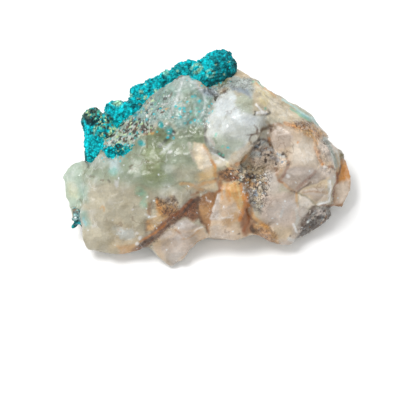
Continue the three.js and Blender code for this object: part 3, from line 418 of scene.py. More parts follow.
    ("umber", 0.12, 0.7, [(-15.6, -2.4), (-15.2, -2.5)]),
    ("tan", 0.12, 0.7, [(-21.6, -10.6), (-21.2, -10.1), (-20.8, -10.4), (-20.8, -11.1)]),
    ("slate", 0.22, 0.6, [(-13.6, -6.9), (-13.2, -7)]),
    ("orange", 0.14, 0.8, [(-18.1, -15), (-17.6, -15.2)]),
    ("dark_umber", 0.16, 0.85, [(-10.3, -8.4), (-9.9, -8.5)]),
    ("umber", 0.1, 0.6, [(-11.8, -9.4), (-11.9, -10.6), (-11.7, -11.6)]),
    ("umber", 0.1, 0.6, [(-11.3, -9), (-11.3, -10.4), (-11.2, -11.4)]),
    ("umber", 0.1, 0.5, [(-10.8, -9.2), (-10.8, -10.4)]),
    ("white", 0.12, 0.5, [(0, -8.7), (0.5, -9)]),
    ("ink", 0.18, 0.85, [(-24.9, 0.4), (-24.8, -0.6), (-24.2, -1.4), (-24.2, -2.2)]),
    ("dark_umber", 0.12, 0.7, [(6.3, -15.8), (6.6, -15.6)]),
    # Dark line along the crease beside the milky lump: painted shade.
    ("slate", 0.16, 0.7, [(-0.6, 8.2), (-0.3, 6.4), (-0.2, 4.4), (0.4, 2.4), (1, 1)]),
    ("slate", 0.22, 0.7, [(1, 2), (1.2, 1.2), (2.2, 1)]),
    ("pale_lilac", 0.2, 0.8, [(0.3, 4), (1, 3), (1.5, 2.2)]),
    ("olive", 0.12, 0.6, [(1.2, 3.8), (1.9, 2.8)]),
    ("black_green", 0.35, 0.9, [(2.3, 0.9), (2.9, 0.6), (3.3, 0.1)]),
    ("ink", 0.16, 0.9, [(2.6, 0.4), (3, 0), (3.5, -0.2)]),
    ("white", 0.12, 0.8, [(1, 0.8), (2.2, 0.3), (3.4, -0.7)]),
    ("pale_lilac", 0.22, 0.7, [(-3.6, 2.8), (-3.4, 1.4), (-3, 0.2), (-2.6, -0.8)]),
    ("white", 0.3, 0.5, [(1.8, -1), (2.6, -1.1)]),
    ("straw", 0.22, 0.8, [(4, -1.3), (4.2, -1.9)]),
    ("frost", 0.2, 0.6, [(-9.6, 0.6), (-8.2, 2), (-7.2, 2.8)]),
    ("amber", 0.3, 0.6, [(-5.4, -5.4), (-3.6, -5.6), (-2, -6.4), (-1, -6.8)]),
    ("sand", 0.3, 0.7, [(-4, -6.4), (-2, -6.2), (0.4, -6.6)]),
    ("umber", 0.16, 0.7, [(-9.9, -8.8), (-8.6, -9.4), (-8, -10.4), (-8.4, -11.6)]),
    ("umber", 0.12, 0.7, [(-6.6, -8.2), (-6.9, -9.4), (-6.2, -10.4)]),
    ("tan", 0.12, 0.6, [(-12, -9.4), (-12, -11.8)]),
    ("nut", 0.14, 0.7, [(-11.6, -9.6), (-11.6, -12)]),
    ("white", 0.16, 0.5, [(-12.6, -11.6), (-11.6, -12.2), (-10.4, -12)]),
    ("white", 0.2, 0.15, [(-5.2, -13.4), (-3.8, -13.1), (-2.8, -13.6)]),
    ("white", 0.12, 0.4, [(-1, -14.2), (-2.6, -15.2)]),
    ("tan", 0.16, 0.6, [(-1.4, -15), (-3.6, -16.6), (-5.4, -16.8)]),
    ("tan", 0.1, 0.6, [(-0.4, -16.4), (-2.6, -18), (-5, -20.6)]),
    ("nut", 0.2, 0.7, [(-6.4, -14.8), (-5.4, -15.8), (-4.8, -16.6)]),
    ("white", 0.12, 0.4, [(3, -12.4), (4.2, -12.2), (5.4, -12.4)]),
    ("amber", 0.25, 0.8, [(5, -6), (5.4, -7.6), (6.2, -9.6), (7, -10.8)]),
    ("amber", 0.25, 0.8, [(4, -6.2), (4, -7.8), (4.6, -9)]),
    ("orange", 0.3, 0.7, [(7.4, -8), (7.8, -9.6), (7.2, -11.4), (6.6, -13)]),
    ("umber", 0.2, 0.8, [(7.8, -10.6), (8.4, -11.8), (9.2, -12.6)]),
    ("white", 0.1, 0.45, [(2.3, -7.6), (1.6, -9.6), (0.7, -12.6)]),
    ("rust", 0.3, 0.8, [(8, -10.4), (8.4, -12), (8.2, -13.6), (7.4, -15)]),
    ("amber", 0.3, 0.8, [(9, -10.6), (9.4, -12.2), (10.6, -13.2), (12.2, -14.2)]),
    ("slate", 0.3, 0.7, [(8.6, -6.6), (9.2, -7.8), (9.6, -9.2), (9.8, -10.6)]),
    ("ink", 0.12, 0.8, [(9.6, -5.4), (10.2, -6.4), (10, -7.2)]),
    ("ink", 0.12, 0.8, [(11.8, -5.2), (11.2, -6.4), (12, -7.6)]),
    ("ink", 0.12, 0.8, [(7.2, -3.2), (8.2, -3.6), (9.2, -3.2)]),
    ("navy", 0.35, 0.85, [(8.2, -3.9), (9.6, -4.2)]),
    ("nut", 0.3, 0.7, [(14, -2.4), (14.4, -3.6), (14.6, -4.8)]),
    ("umber", 0.22, 0.8, [(17.2, -6.9), (17.9, -7.1)]),
    ("umber", 0.1, 0.7, [(18.6, -7), (20, -6), (21.2, -5.2)]),
    ("cocoa", 0.3, 0.6, [(18.4, -6.4), (19.6, -5.4), (21, -4), (22, -3)]),
    ("pale_lilac", 0.1, 0.7, [(19.4, -7), (21.6, -6.6), (24.4, -6.6)]),
    ("pale_lilac", 0.1, 0.7, [(19.8, -7.4), (22, -7.6), (24.6, -8)]),
    ("nut", 0.08, 0.5, [(19.6, -7.2), (22, -7.1), (24.4, -7.3)]),
    ("white", 0.2, 0.8, [(22.6, -9.6), (24, -9.4), (24.9, -9)]),
    ("white", 0.16, 0.7, [(25, -5), (25.1, -7), (24.9, -8.6)]),
    ("ink", 0.3, 0.8, [(19.6, -14.6), (20.6, -13.6), (21.8, -13)]),
    ("umber", 0.25, 0.7, [(22.2, -14.6), (23.4, -13.4), (25, -12)]),
    ("milky", 0.25, 0.6, [(18.2, -10.8), (18.6, -12.4), (18.2, -13.6)]),
    ("umber", 0.16, 0.8, [(10.4, 4.6), (10.2, 5.8), (9.6, 6.4)]),
    ("umber", 0.22, 0.8, [(11, 5.4), (12.2, 6), (13, 6.2), (13.2, 5.2)]),
    ("umber", 0.12, 0.8, [(9, 4.4), (8.6, 3.6), (9.2, 2.6), (10.2, 2.8)]),
    ("ink", 0.2, 0.8, [(9.6, 3), (10.4, 3.4), (10.8, 2.6), (9.8, 1.8)]),
    ("umber", 0.2, 0.8, [(11.4, 3.6), (12.4, 3.4), (12.8, 2.4)]),
    ("frost", 0.25, 0.8, [(9.4, 0.8), (10.2, 0.8), (10.8, 0.2)]),
    ("rust", 0.2, 0.6, [(13.6, 6.6), (14.6, 6.8), (15.4, 6.4)]),
    ("white", 0.1, 0.8, [(10, 10.6), (10.6, 10), (11.2, 9.2)]),
    ("pale_cream", 0.16, 0.7, [(13, 11.4), (14, 10.6), (15.2, 9.8)]),
    ("drab", 0.14, 0.5, [(12, 12.4), (13.6, 11.2), (15.6, 10.4)]),
    ("sea_green", 0.12, 0.7, [(10.4, 15.2), (11, 14.6), (11.4, 14.2)]),
    ("teal", 0.14, 0.9, [(24.2, 5.4), (25.2, 4.2), (26.2, 2.8)]),
    ("sea_green", 0.12, 0.7, [(17, 9.8), (19, 8.4), (21, 7.2)]),
    ("ink", 0.2, 0.85, [(-18.2, 6.4), (-17, 6.6), (-15.8, 5.4)]),
    ("pale_mint", 0.35, 0.85, [(-17.4, 5.6), (-16, 6.6), (-14.6, 6.4)]),
    ("frost", 0.25, 0.6, [(-4.8, 16.2), (-6, 12.4), (-7.8, 8)]),
    ("frost", 0.22, 0.6, [(-3.8, 15.8), (-1.2, 14), (-0.2, 11), (-1, 8.6)]),
    ("olive", 0.3, 0.5, [(-2.8, 10.6), (-3, 7.4), (-3.8, 4.2)]),
    ("drab", 0.14, 0.5, [(-8.6, 11.6), (-7.2, 9.2), (-6.8, 7)]),
    ("frost", 0.3, 0.5, [(-6, 11.6), (-4.8, 10.4)]),
    ("dark_umber", 0.25, 0.7, [(-6.2, 16.9), (-5.4, 16.4), (-4.6, 16.9), (-3.6, 17)]),
]

# Soft round marks on the quartz: colour, radius, strength, places.
SPOTS = [
    ("teal", 0.6, 0.9, [(-9.2, 6.6), (-13.4, 2.8)]),
    ("turquoise", 0.5, 0.95, [(-13.1, 9.8), (-14.6, 7.2), (-15.4, 8.8), (-16.6, 8.6), (-14.6, 8.4)]),
    ("turquoise", 0.32, 0.95, [(-6.8, 3.8), (-8, 4), (-3, 12.2), (-2.4, 12.4), (-1.3, 11.5), (-3.3, 7),
        (-5.6, 8.2), (-5.4, 9.8), (-4.6, 9.7), (-4.4, 6.9), (-13.2, 6.9)]),
    ("sea_green", 0.3, 0.7, [(3.2, 2.2), (3.3, 0.4), (2.5, 0.7), (-1.9, 9.8), (-1.4, 7.3), (-3.2, 8.7),
        (-5.8, 8.6), (-9.8, 11.4), (-10.4, 10.8), (-2.2, 8.6), (9.4, 15.3), (11.9, 9.8), (-6.4, 10.2),
        (1.8, 4.6), (1.6, 4.2)]),
    ("umber", 0.55, 0.85, [(3.5, 13.4)]),
    ("sea_green", 1.0, 0.35, [(-13.8, -7), (-12.8, -7.8), (-19, -3), (-12.8, -9.6)]),
    ("milky", 1.1, 0.6, [(-18.4, -14.9), (-17.2, -15.4)]),
    ("white", 0.4, 0.8, [(-14.2, -15.5), (-13.6, -16.5), (-7.5, 1), (16.5, -3.9), (-14.2, -17.6),
        (24, -2.2)]),
    ("white", 0.2, 0.8, [(-19, -12.9), (-12.2, -8.2), (12.4, 4.8), (-15, -10.6), (6.7, -3), (3.4, -10.2),
        (5, -13)]),
    ("orange", 0.3, 0.7, [(18.6, 2.9), (23.4, -1.6), (8.4, -2)]),
    ("slate", 0.7, 0.5, [(-8, -8.6), (22.4, -12.8), (10.6, 12.6)]),
    ("ink", 0.16, 0.8, [(8.4, 15.4), (7, -1), (6.5, -3.4), (5.4, -4.2), (3.1, -4.2), (16.9, -16)]),
    ("film", 0.2, 0.8, [(6.7, -4.8), (7.4, -4.3), (6.9, -4.2)]),
    ("grey_green", 0.8, 0.5, [(1.2, 9.4), (24.6, 5.4)]),
]

# Where the quartz is rough and grainy: grain size, relief depth, how much the grains differ in tone, outline.
GRAINY = [
    (0.9, 0.3, 0.16, [(-17, 10.4), (-12, 10), (-9, 14.6), (-6, 17.2), (-3, 16.8), (2.4, 13.4), (1.8, 9.4),
        (0, 5.6), (-3, 2.6), (-8, 4.6), (-14, 6.4), (-17, 7)]),
    (0.6, 0.25, 0.22, [(4, 15.3), (6, 16.4), (9, 16), (9.8, 13), (8, 13.6), (6, 13.8), (4, 13.6), (2.2, 12),
        (0.2, 12), (-0.5, 13.4), (2, 14.4)]),
    (0.55, 0.22, 0.26, [(2, -3), (4, -2.4), (6.6, -2.8), (8, -1.5), (12, -2), (12.8, -5), (12.6, -8),
        (10.5, -11), (8.8, -9), (8.6, -6), (6, -5), (2.4, -4.8)]),
    (0.8, 0.3, 0.3, [(21.4, -9.9), (26, -10), (26.6, -10.7), (24.8, -13.4), (22, -15), (21, -17.6),
        (18, -17.6), (18.4, -14.5), (19.2, -12.5), (20.6, -11)]),
    (0.6, 0.25, 0.2, [(-14.4, -19.6), (-12, -18.6), (-9, -16), (-6, -13.4), (-4.6, -12.2), (-1.6, -12.8),
        (-1.4, -8.4), (-3, -8.2), (-5.4, -10), (-6.4, -8.4), (-10.4, -8.4), (-12.8, -13), (-12.8, -16)]),
    (0.7, 0.22, 0.18, [(8.8, 2), (12, 2.8), (16.6, 0.6), (16.8, -2), (14, -3), (8, -1.6)]),
    (0.7, 0.25, 0.22, [(8.8, -13.2), (13, -13.4), (14.6, -16.4), (14.6, -18.6), (9, -17)]),
    (0.8, 0.2, 0.18, [(12, 9.6), (18, 8), (24, 5), (24, 2.6), (20, 4.4), (14, 5.6), (12, 6.6)]),
    (0.5, 0.18, 0.3, [(17, 7.4), (22.6, 6.2), (25, 4.4), (26.4, 0), (25.8, -3), (24, -4), (22.4, -2),
        (22, 1.6), (20.6, 4.4), (17.4, 5.6)]),
    (0.5, 0.3, 0.1, [(-20.8, 4.6), (-18, 7.8), (-16, 8.4), (-13, 7.4), (-10.4, 6.6), (-11, 4.8), (-15, 3.2),
        (-17, 2.2), (-20.4, 2.4)]),
]

# Crumbly places, where crumbs of several colours lie mixed: the colours, then how thick they lie and where.
# The first two are for the quartz beside the crust and for the crust itself, the last for stained quartz.
CRUMB_SIZE = 0.55
CRUMBS = ["dark_umber", "black_green", "pale_mint", "milky", "stone_grey", "umber", "teal", "ink",
          "pale_green", "mint"]
CRUST_CRUMBS = ["olive_brown", "black_green", "pale_green", "teal", "sea_green", "turquoise", "dark_teal"]
CRUST_CRUMBLY = [
    (0.85, [(-22.8, 8.4), (-20.6, 9), (-18.6, 7.8), (-18.4, 5.2), (-20.2, 3.2), (-22, 4.2)]),
    (0.5, [(-25.6, 8.2), (-25, 10.2), (-22.6, 11), (-21.2, 9.6), (-22, 8)]),
    (0.7, [(-19.6, 2.6), (-14.6, 3), (-15.2, 1.6), (-19, 1.2)]),
    (0.2, [(-17.4, 11.4), (-14, 11.6), (-11, 13.4), (-10.8, 11.4), (-14, 9), (-17.4, 8.6)]),
]
CRUMBLY = [
    (0.9, [(-21, 4.6), (-18.4, 7.8), (-16, 8.2), (-13.5, 7.2), (-11.8, 7), (-10.8, 6.2), (-11.8, 4.8),
        (-13.4, 4), (-15, 3), (-17, 2), (-20.4, 2.2)]),
    (0.28, [(-16, 8.4), (-12, 12.4), (-9.6, 14.6), (-8.2, 13), (-8, 9.4), (-10.6, 7.2), (-13.4, 7)]),
]

STAINED_CRUMBS = ["slate", "milky", "nut", "dark_umber", "blue_grey", "pale_rosy"]
STAINED_CRUMBLY = [
    (0.2, [(9.2, 1), (10.4, 4), (13, 3), (14, 1.4), (16.6, 0.8), (16.4, -2), (15, -2), (9.6, -1.2)]),
    (0.14, [(2, -3), (6.6, -2.6), (8, -1.5), (12, -2), (12.8, -5), (12.6, -8), (10.5, -11), (8.6, -8),
        (6, -5)]),
    (0.2, [(21.4, -10.4), (25.4, -10.2), (24.6, -13.4), (22, -15), (20.6, -17), (18, -17), (19.6, -13)]),
]

# Areas of the crust, laid over plain turquoise.
CRUST_AREAS = [
    ("olive_brown", 0.5, 0.85, [(-26, 7.6), (-25.2, 10), (-22.6, 11), (-21.2, 9.6), (-21.4, 8),
        (-23.4, 7.4)]),
    ("ink", 0.3, 0.9, [(-25.2, 7.8), (-22.2, 8), (-21.8, 6.6), (-24.4, 6.4)]),
    ("deep_teal", 0.6, 0.3, [(-22.4, 9), (-19.6, 9.8), (-18, 6), (-19.4, 4.2), (-22.4, 5.4)]),
    ("pale_green", 0.4, 0.75, [(-19.4, 10.6), (-18.4, 11.8), (-17, 11.2), (-17.6, 10.2)]),
    ("teal", 0.8, 0.3, [(-9, 18.6), (-4, 19), (-2.4, 17.4), (-3.4, 15.6), (-9, 15.6)]),
    ("pale_green", 0.4, 0.4, [(-9.2, 17.6), (-8, 17.8), (-7.4, 16.8), (-8.8, 16.4)]),
    ("deep_teal", 0.7, 0.42, [(1.4, 22.4), (6.8, 22.4), (7, 17), (4, 14.6), (1, 15)]),
    ("black_green", 0.6, 0.75, [(3.4, 22.8), (6.8, 22), (6.8, 17.6), (5.6, 18.6), (5.4, 20.8)]),
]
CRUST_STREAKS = [
    ("black_green", 0.3, 0.85, [(-25.4, 6.8), (-25.3, 4), (-25, 1.4), (-24.4, -1.6)]),
    ("pale_green", 0.25, 0.7, [(-23, 4.6), (-22.6, 6), (-22, 7)]),
    ("dark_teal", 0.2, 0.9, [(-17.9, 2.8), (-18.1, 1.6), (-18.6, 0.8)]),
    ("pale_green", 0.26, 0.65, [(-3.2, 18), (-2.6, 18.8), (-1.6, 18.8), (-1.1, 18), (-1.6, 17.2),
        (-2.6, 17.2)]),
    ("pale_green", 0.2, 0.5, [(0, 17.2), (0.8, 17.7), (1.5, 17.2), (1.3, 16.4), (0.5, 16.2), (0, 16.6)]),
    ("dark_teal", 0.3, 0.7, [(-4.2, 16), (-3.4, 17), (-3.6, 18.4)]),
    # Along the lower edge of the big balls: painted shadow.
    ("dark_teal", 0.35, 0.8, [(-1, 16), (0.4, 15), (2, 15), (4, 14.9), (5.6, 16.4)]),
    ("dark_teal", 0.35, 0.75, [(-15.8, 11.4), (-14, 10.2), (-12.4, 10.4), (-11.2, 11.6)]),
    ("dark_teal", 0.3, 0.75, [(-17, 8.6), (-16.6, 10), (-16.8, 11.6)]),
    ("dark_teal", 0.3, 0.7, [(-11.6, 13.4), (-11.4, 14.8), (-12, 15.8)]),
    ("dark_teal", 0.25, 0.7, [(-8.8, 14.6), (-8.4, 15.8), (-9, 16.6)]),
    # Along the lower edge of the big balls: painted shadow.
    ("ink", 0.3, 0.8, [(-2.4, 15.3), (-0.7, 14.4), (0.9, 14.4), (1.8, 15.3), (4.5, 15.7), (5.6, 16.8)]),
    ("black_green", 0.3, 0.7, [(2.2, 16), (2.6, 17.6), (2, 19.4), (0.6, 20.4)]),
    # Under the ball: painted shadow.
    ("dark_teal", 0.2, 0.8, [(-0.6, 16.4), (-1.4, 15.2), (0.4, 15.8), (1.4, 16)]),
    ("dark_teal", 0.25, 0.7, [(3.6, 16.4), (4.2, 18), (3.4, 19.8), (4.4, 21.4)]),
]
CRUST_SPOTS = [
    ("pale_green", 0.45, 0.6, [(-13.3, 13.2), (-15.4, 12.4), (-10.4, 13.4), (-1.6, 17.6)]),
    ("pale_green", 0.25, 0.75, [(4.4, 19.4), (1.8, 18.8), (3.4, 16.8), (-12.4, 14.8), (-20.8, 7.4),
        (-20, 5.6), (-21.4, 6.2), (-19.6, 7.8), (-6, 17.4), (-14, 11.8)]),
    ("ink", 0.35, 0.9, [(-23.4, 4.8), (-18.1, 1.7), (-12.4, 10.7), (-13.6, 10.8)]),
]

# Areas of the little patch low on the left.
PATCH_AREAS = [
    ("stone_grey", 0.3, 0.85, [(-28.6, -9.6), (-24.8, -9.6), (-24.8, -13), (-28.6, -13)]),
    ("nut", 0.2, 0.7, [(-27.4, -10.6), (-26, -10.6), (-26.2, -11.2), (-27.2, -11.2)]),
    ("film", 0.25, 0.85, [(-27.2, -11.8), (-26.3, -11.8), (-26.2, -12.8), (-27.1, -12.9)]),
    ("bright_turquoise", 0.3, 0.95, [(-25.5, -12), (-24.6, -12), (-24.6, -14), (-25.4, -14)]),
    ("teal", 0.25, 1.0, [(-27.4, -13.9), (-25.9, -13.9), (-25.9, -15), (-27.4, -15)]),
    ("black_green", 0.2, 0.85, [(-25.9, -13.9), (-24.6, -13.9), (-24.6, -15), (-25.9, -15)]),
]
PATCH_STREAKS = [
    ("ink", 0.2, 0.85, [(-25.9, -10.3), (-25.3, -10.5)]),
    ("ink", 0.16, 0.8, [(-27.6, -11.3), (-27.5, -12.2), (-27.5, -12.9), (-27, -13.4), (-26.8, -13.9)]),
    ("ink", 0.14, 0.75, [(-26.2, -12.4), (-26, -12.9), (-26.5, -13.2)]),
    ("slate", 0.16, 0.8, [(-27.2, -11.3), (-26.4, -11.3)]),
    ("dull_blue", 0.2, 0.85, [(-26.6, -13.8), (-26.1, -13.7)]),
    ("blue_grey", 0.2, 0.8, [(-25.7, -13), (-25.5, -13.5)]),
    ("white", 0.12, 0.7, [(-26.9, -12.1), (-26.6, -12.5)]),
]

# Where dark scribbles and pale and teal specks lie on the quartz: how thick, how soft the edge is, outline.
SCRIBBLES = [
    (0.25, 1.0, [(-17, 8.4), (-11, 12), (-8.6, 14), (-6.4, 12), (-8, 8), (-11, 6.4), (-16, 6)]),
    (0.04, 1.0, [(-9, 14), (-6, 16.8), (-3, 16.8), (2, 13), (1, 9), (-1, 5), (-8, 5)]),
    (0.3, 0.5, [(0, 13.8), (4, 15.6), (9, 16.4), (9.6, 13), (6, 13.8), (2, 11.4), (0, 11.4)]),
    (0.5, 0.8, [(8, -1.5), (12.4, -2), (13.4, -5), (12.8, -8), (10.6, -11), (8.6, -8.6), (8.8, -5.6),
        (5, -5), (4, -2.4)]),
    (0.55, 0.8, [(21.4, -11), (26, -10.4), (24.8, -13.4), (22, -15), (21, -17.6), (18, -17.6),
        (19.4, -13)]),
    (0.4, 0.8, [(-14.4, -19.6), (-10, -15.4), (-5, -10.4), (-1.6, -8.4), (-1.4, -12.8), (-5, -12.6),
        (-12, -18.8)]),
    (0.22, 0.8, [(8.8, 2), (12, 2.8), (16.6, 0.6), (16.8, -2), (14, -3), (8, -1.6)]),
    (0.2, 0.8, [(21.6, 5), (24.6, 4), (25.8, -2.4), (24, -4), (22.6, -1), (22.2, 2)]),
    (0.4, 0.6, [(-10.2, -8.4), (-6, -8.2), (-5, -10.4), (-6, -12.4), (-9.4, -12), (-10.4, -10)]),
    (0.4, 0.6, [(2.6, -2.6), (6.6, -2.4), (8, -0.6), (6.4, -4.4), (3, -4.6)]),
    (0.4, 0.8, [(17, 7.6), (20, 7.4), (22.6, 6.2), (24, 4.4), (21, 4.6), (17.6, 5.8)]),
    (0.3, 0.8, [(9, -13.4), (12.6, -13.6), (14.4, -16.2), (14.6, -18.6), (9, -17)]),
]
# The white specks stand both for white crumbs and for painted glints.
WHITE_SPECKS = [
    (0.012, 3.0, [(-30, 1), (-12, 6), (6, 16), (24, 6), (30, -4), (24, -16), (-6, -22), (-26, -18)]),
    (0.06, 1.0, [(-9, 14), (-6, 16.8), (-3, 16.8), (2, 13), (1, 9), (-1, 5), (-8, 5), (-15, 7)]),
    (0.05, 0.8, [(1.8, 11.8), (5.6, 14.3), (9.6, 8.4), (12, 6.3), (8.3, 3), (7, -0.6), (1.4, 0.5),
        (-0.2, 6)]),
    (0.16, 0.8, [(8, -1.5), (12.4, -2), (13.4, -5), (12.8, -8), (8.6, -8.6), (6, -5), (2, -3)]),
    (0.1, 0.6, [(-12.6, -8.6), (-10.4, -9), (-9.4, -11.6), (-8.4, -13.4), (-10, -15.4), (-12.6, -15)]),
    (0.08, 0.8, [(-1.6, -7.4), (2.4, -6.6), (2.8, -5), (1, -10.6), (-0.4, -14.4), (-1.8, -10)]),
    (0.06, 1.0, [(11, -7), (18, -7.4), (18.6, -16), (14, -17.6), (11, -12)]),
]
TEAL_SPECKS = [
    (0.3, 1.0, [(-5.8, 6.2), (-6, 10.4), (-3.4, 13.6), (-0.8, 12.4), (1.4, 9.6), (0, 5.6)]),
    (0.14, 1.0, [(-16, 5.6), (-16, 9), (-9, 13), (-6, 10), (-6, 5.4)]),
    (0.12, 1.0, [(1.6, 7), (4, 5), (3.6, 0.4), (1.4, 1)]),
]
# Thin lines in the quartz: their colour, spacing, width as a share of that, and strength.
VEINLETS = [("white", 4.2, 0.015, 0.2), ("umber", 5.2, 0.012, 0.35), ("white", 2.2, 0.018, 0.1)]

# The share of red, green and blue that clear quartz loses, and that a deep hollow loses to painted shade and
# iron staining together.
CLEAR_LOSS = np.array([0.2, 0.23, 0.3])
HOLLOW_SHADE_AND_STAIN_LOSS = np.array([0.25, 0.33, 0.42])

# How much darker the whole quartz and how much brighter the crust is than its palette colours.
QUARTZ_TONE = 0.86
CRUST_TONE = 1.14

# The scoops that break the skin of the quartz: size, depth, and the seed of their places.
SCOOPS = [(3.4, 0.34, 3), (1.7, 0.2, 5)]
SCOOP_LEVEL = 0.62
FINE_SCOOP = (0.85, 0.06, 8)
STEP_DEPTH = 0.1

# How far the crust reaches down to the quartz, and how far the grains of its material lie apart.
SEATING_REACH = 1.4
CRUST_GRAIN = 0.5

# Half the width of the thinnest line that the vertices can carry.
THINNEST_LINE = 0.17

# How far apart the vertices of each surface are.
QUARTZ_CELL = 0.27
CRUST_CELL = 0.15
PATCH_CELL = 0.16

# The room: how bright its white sky is, the lamp's place, size and power, and half the floor's width.
# These sizes are in metres.
SKY_STRENGTH = 0.8
LAMP_PLACE = (-0.34, 0.16, 0.8)
LAMP_SIZE = 0.35
LAMP_POWER = 5.4
FLOOR_HALF = 1.5

# Numbers that turn a cell's place into steady random ones, and the cells round a point.
HASH_SCALE = 43758.5453
HASH_SEED_STEP = 17.13
HASH = np.array([[127.1, 311.7, 74.7], [269.5, 183.3, 246.1], [113.5, 271.9, 124.6]])
CORNERS = np.array([(i, j, k) for i in (0, 1) for j in (0, 1) for k in (0, 1)])
NEIGHBOURS = np.array([(i, j, k) for i in (-1, 0, 1) for j in (-1, 0, 1) for k in (-1, 0, 1)])


def scatter(cells, seed):
    """Three steady random numbers from 0 to 1 for each whole-number cell."""
    value = np.sin(cells @ HASH.T + seed * HASH_SEED_STEP) * HASH_SCALE
    return value - np.floor(value)


def swell(points, size, seed):
    """Smooth noise from -1 to 1 whose bumps are about size across."""
    scaled = points / size
    cell = np.floor(scaled)
    part = scaled - cell
    ease = part * part * (3 - 2 * part)
    total = np.zeros(len(points))
    for corner in CORNERS:
        weight = np.prod(np.where(corner == 1, ease, 1 - ease), axis=1)
        total += weight * (scatter(cell + corner, seed)[:, 0] * 2 - 1)
    return total


def grains(points, size, seed):
    """The distance to the nearest strewn seed, and that seed's random numbers."""
    scaled = points / size
    cell = np.floor(scaled)
    nearest = np.full(len(points), 9.0)
    own = np.zeros((len(points), 3))
    for step in NEIGHBOURS:
        random = scatter(cell + step, seed)
        distance = np.linalg.norm(cell + step + random - scaled, axis=1)
        closer = distance < nearest
        own[closer] = random[closer]
        nearest = np.where(closer, distance, nearest)
    return nearest, own


def smooth_step(low, high, value):
    """A soft change from 0 at low to 1 at high."""
    part = np.clip((value - low) / (high - low), 0, 1)
    return part * part * (3 - 2 * part)


def line_distance(places, start, end):
    """How far each place is from a straight piece of line."""
    run = end - start
    along = np.clip((places - start) @ run / max(run @ run, 1e-9), 0, 1)
    return np.linalg.norm(places - start - along[:, None] * run, axis=1)


def path_distance(places, path):
    """How far each place is from a bent line."""
    corners = np.array(path, float)
    return np.min([line_distance(places, *pair) for pair in zip(corners, corners[1:])], axis=0)


def depth_inside(places, outline):
    """How far each place lies inside an outline; outside it, the distance is negative."""
    corners = np.array(outline, float)
    nearest = np.full(len(places), 1e9)
    inside = np.zeros(len(places), bool)
    for start, end in zip(corners, np.roll(corners, -1, axis=0)):
        nearest = np.minimum(nearest, line_distance(places, start, end))
        if start[1] == end[1]:
            continue
        level = (start[1] > places[:, 1]) != (end[1] > places[:, 1])
        crossing = start[0] + (end[0] - start[0]) * (places[:, 1] - start[1]) / (end[1] - start[1])
        inside ^= level & (places[:, 0] < crossing)
    return np.where(inside, nearest, -nearest)


def picture_place(points):
    """Where points come in the picture, in millimetres across and up from the stone's middle."""
    away = points - (AIM + DISTANCE * BACK)
    scale = FOCAL_PIXELS / -(away @ BACK)
    across = PICTURE_PIXELS / 2 + scale * (away @ RIGHT) - STONE_MIDDLE_PIXEL[0]
    up = STONE_MIDDLE_PIXEL[1] - PICTURE_PIXELS / 2 + scale * (away @ UP)
    return np.stack([across, up], axis=1) * MM_PER_PIXEL


def wandering(points, places, reach):
    """Places pushed about a little, so that the edges of marks wander as they do in stone."""
    drift = np.stack([swell(points, 1.4, 31), swell(points, 1.4, 32)], axis=1)
    fine = np.stack([swell(points, 0.5, 33), swell(points, 0.5, 34)], axis=1)
    return places + reach * (drift + 0.45 * fine)


def laid_over(paint, name, cover):
    """The paint with a named colour laid over it."""
    return paint + cover[:, None] * (colour(name) - paint)


def with_marks(paint, points, places, areas, streaks, spots):
    """The paint with areas, then streaks, then spots laid over it."""
    wide = wandering(points, places, 0.4)
    close = wandering(points, places, 0.16)
    for name, edge, strength, outline in areas:
        paint = laid_over(paint, name, strength * smooth_step(-edge, edge, depth_inside(wide, outline)))
    broken = 0.75 + 0.25 * swell(points, 0.7, 35)
    mottled = 0.6 + 0.4 * smooth_step(-0.3, 0.2, swell(points, 0.6, 36))
    for name, width, strength, path in streaks:
        shown = max(width, THINNEST_LINE)
        cover = 1 - smooth_step(0.55 * shown, 1.7 * shown, path_distance(close, path))
        paint = laid_over(paint, name, strength * cover * broken)
    for name, radius, strength, spots_at in spots:
        for spot in spots_at:
            away = np.linalg.norm(close - np.array(spot), axis=1)
            cover = 1 - smooth_step(0.5 * radius, 1.3 * radius, away)
            paint = laid_over(paint, name, strength * cover * mottled)
    return paint


def crumbled(paint, points, places, names, zones):
    """The paint with crumbs of several colours strewn over zones."""
    _, crumb = grains(points, CRUMB_SIZE, 14)
    picked = np.array([colour(name) for name in names])[(crumb[:, 0] * len(names)).astype(int)]
    wide = wandering(points, places, 0.4)
    for thick, outline in zones:
        cover = smooth_step(-0.3, 0.3, depth_inside(wide, outline)) * (crumb[:, 1] < thick)
        paint = paint + 0.9 * cover[:, None] * (picked - paint)
    return paint


def dense_copy(node, cell):
    """A node's surface as an even fine net: vertex places in millimetres and its four-sided faces."""
    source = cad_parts[node]
    mesh = source.data.copy()
    mesh.transform(source.matrix_world)
    mesh.transform(Matrix.Scale(1 / MM, 4))
    holder = bpy.data.objects.new("holder", mesh)
    bpy.context.scene.collection.objects.link(holder)
    remesh = holder.modifiers.new("even", "REMESH")
    remesh.mode = "VOXEL"
    remesh.voxel_size = cell
    shape = holder.evaluated_get(bpy.context.evaluated_depsgraph_get()).to_mesh()
    points = np.empty(len(shape.vertices) * 3)
    shape.vertices.foreach_get("co", points)
    faces = [tuple(face.vertices) for face in shape.polygons]
    holder.to_mesh_clear()
    bpy.data.objects.remove(holder)
    bpy.data.meshes.remove(mesh)
    return points.reshape(-1, 3), faces


def surface_of(points, faces):
    """A surface that can be asked for its nearest place to a point."""
    return BVHTree.FromPolygons(points.tolist(), faces)


def edges_of(faces):
    """The pairs of vertices that share an edge."""
    corners = np.array([face for face in faces if len(face) == 4])
    pairs = np.concatenate([corners[:, [i, (i + 1) % 4]] for i in range(4)])
    return np.unique(np.sort(pairs, axis=1), axis=0)


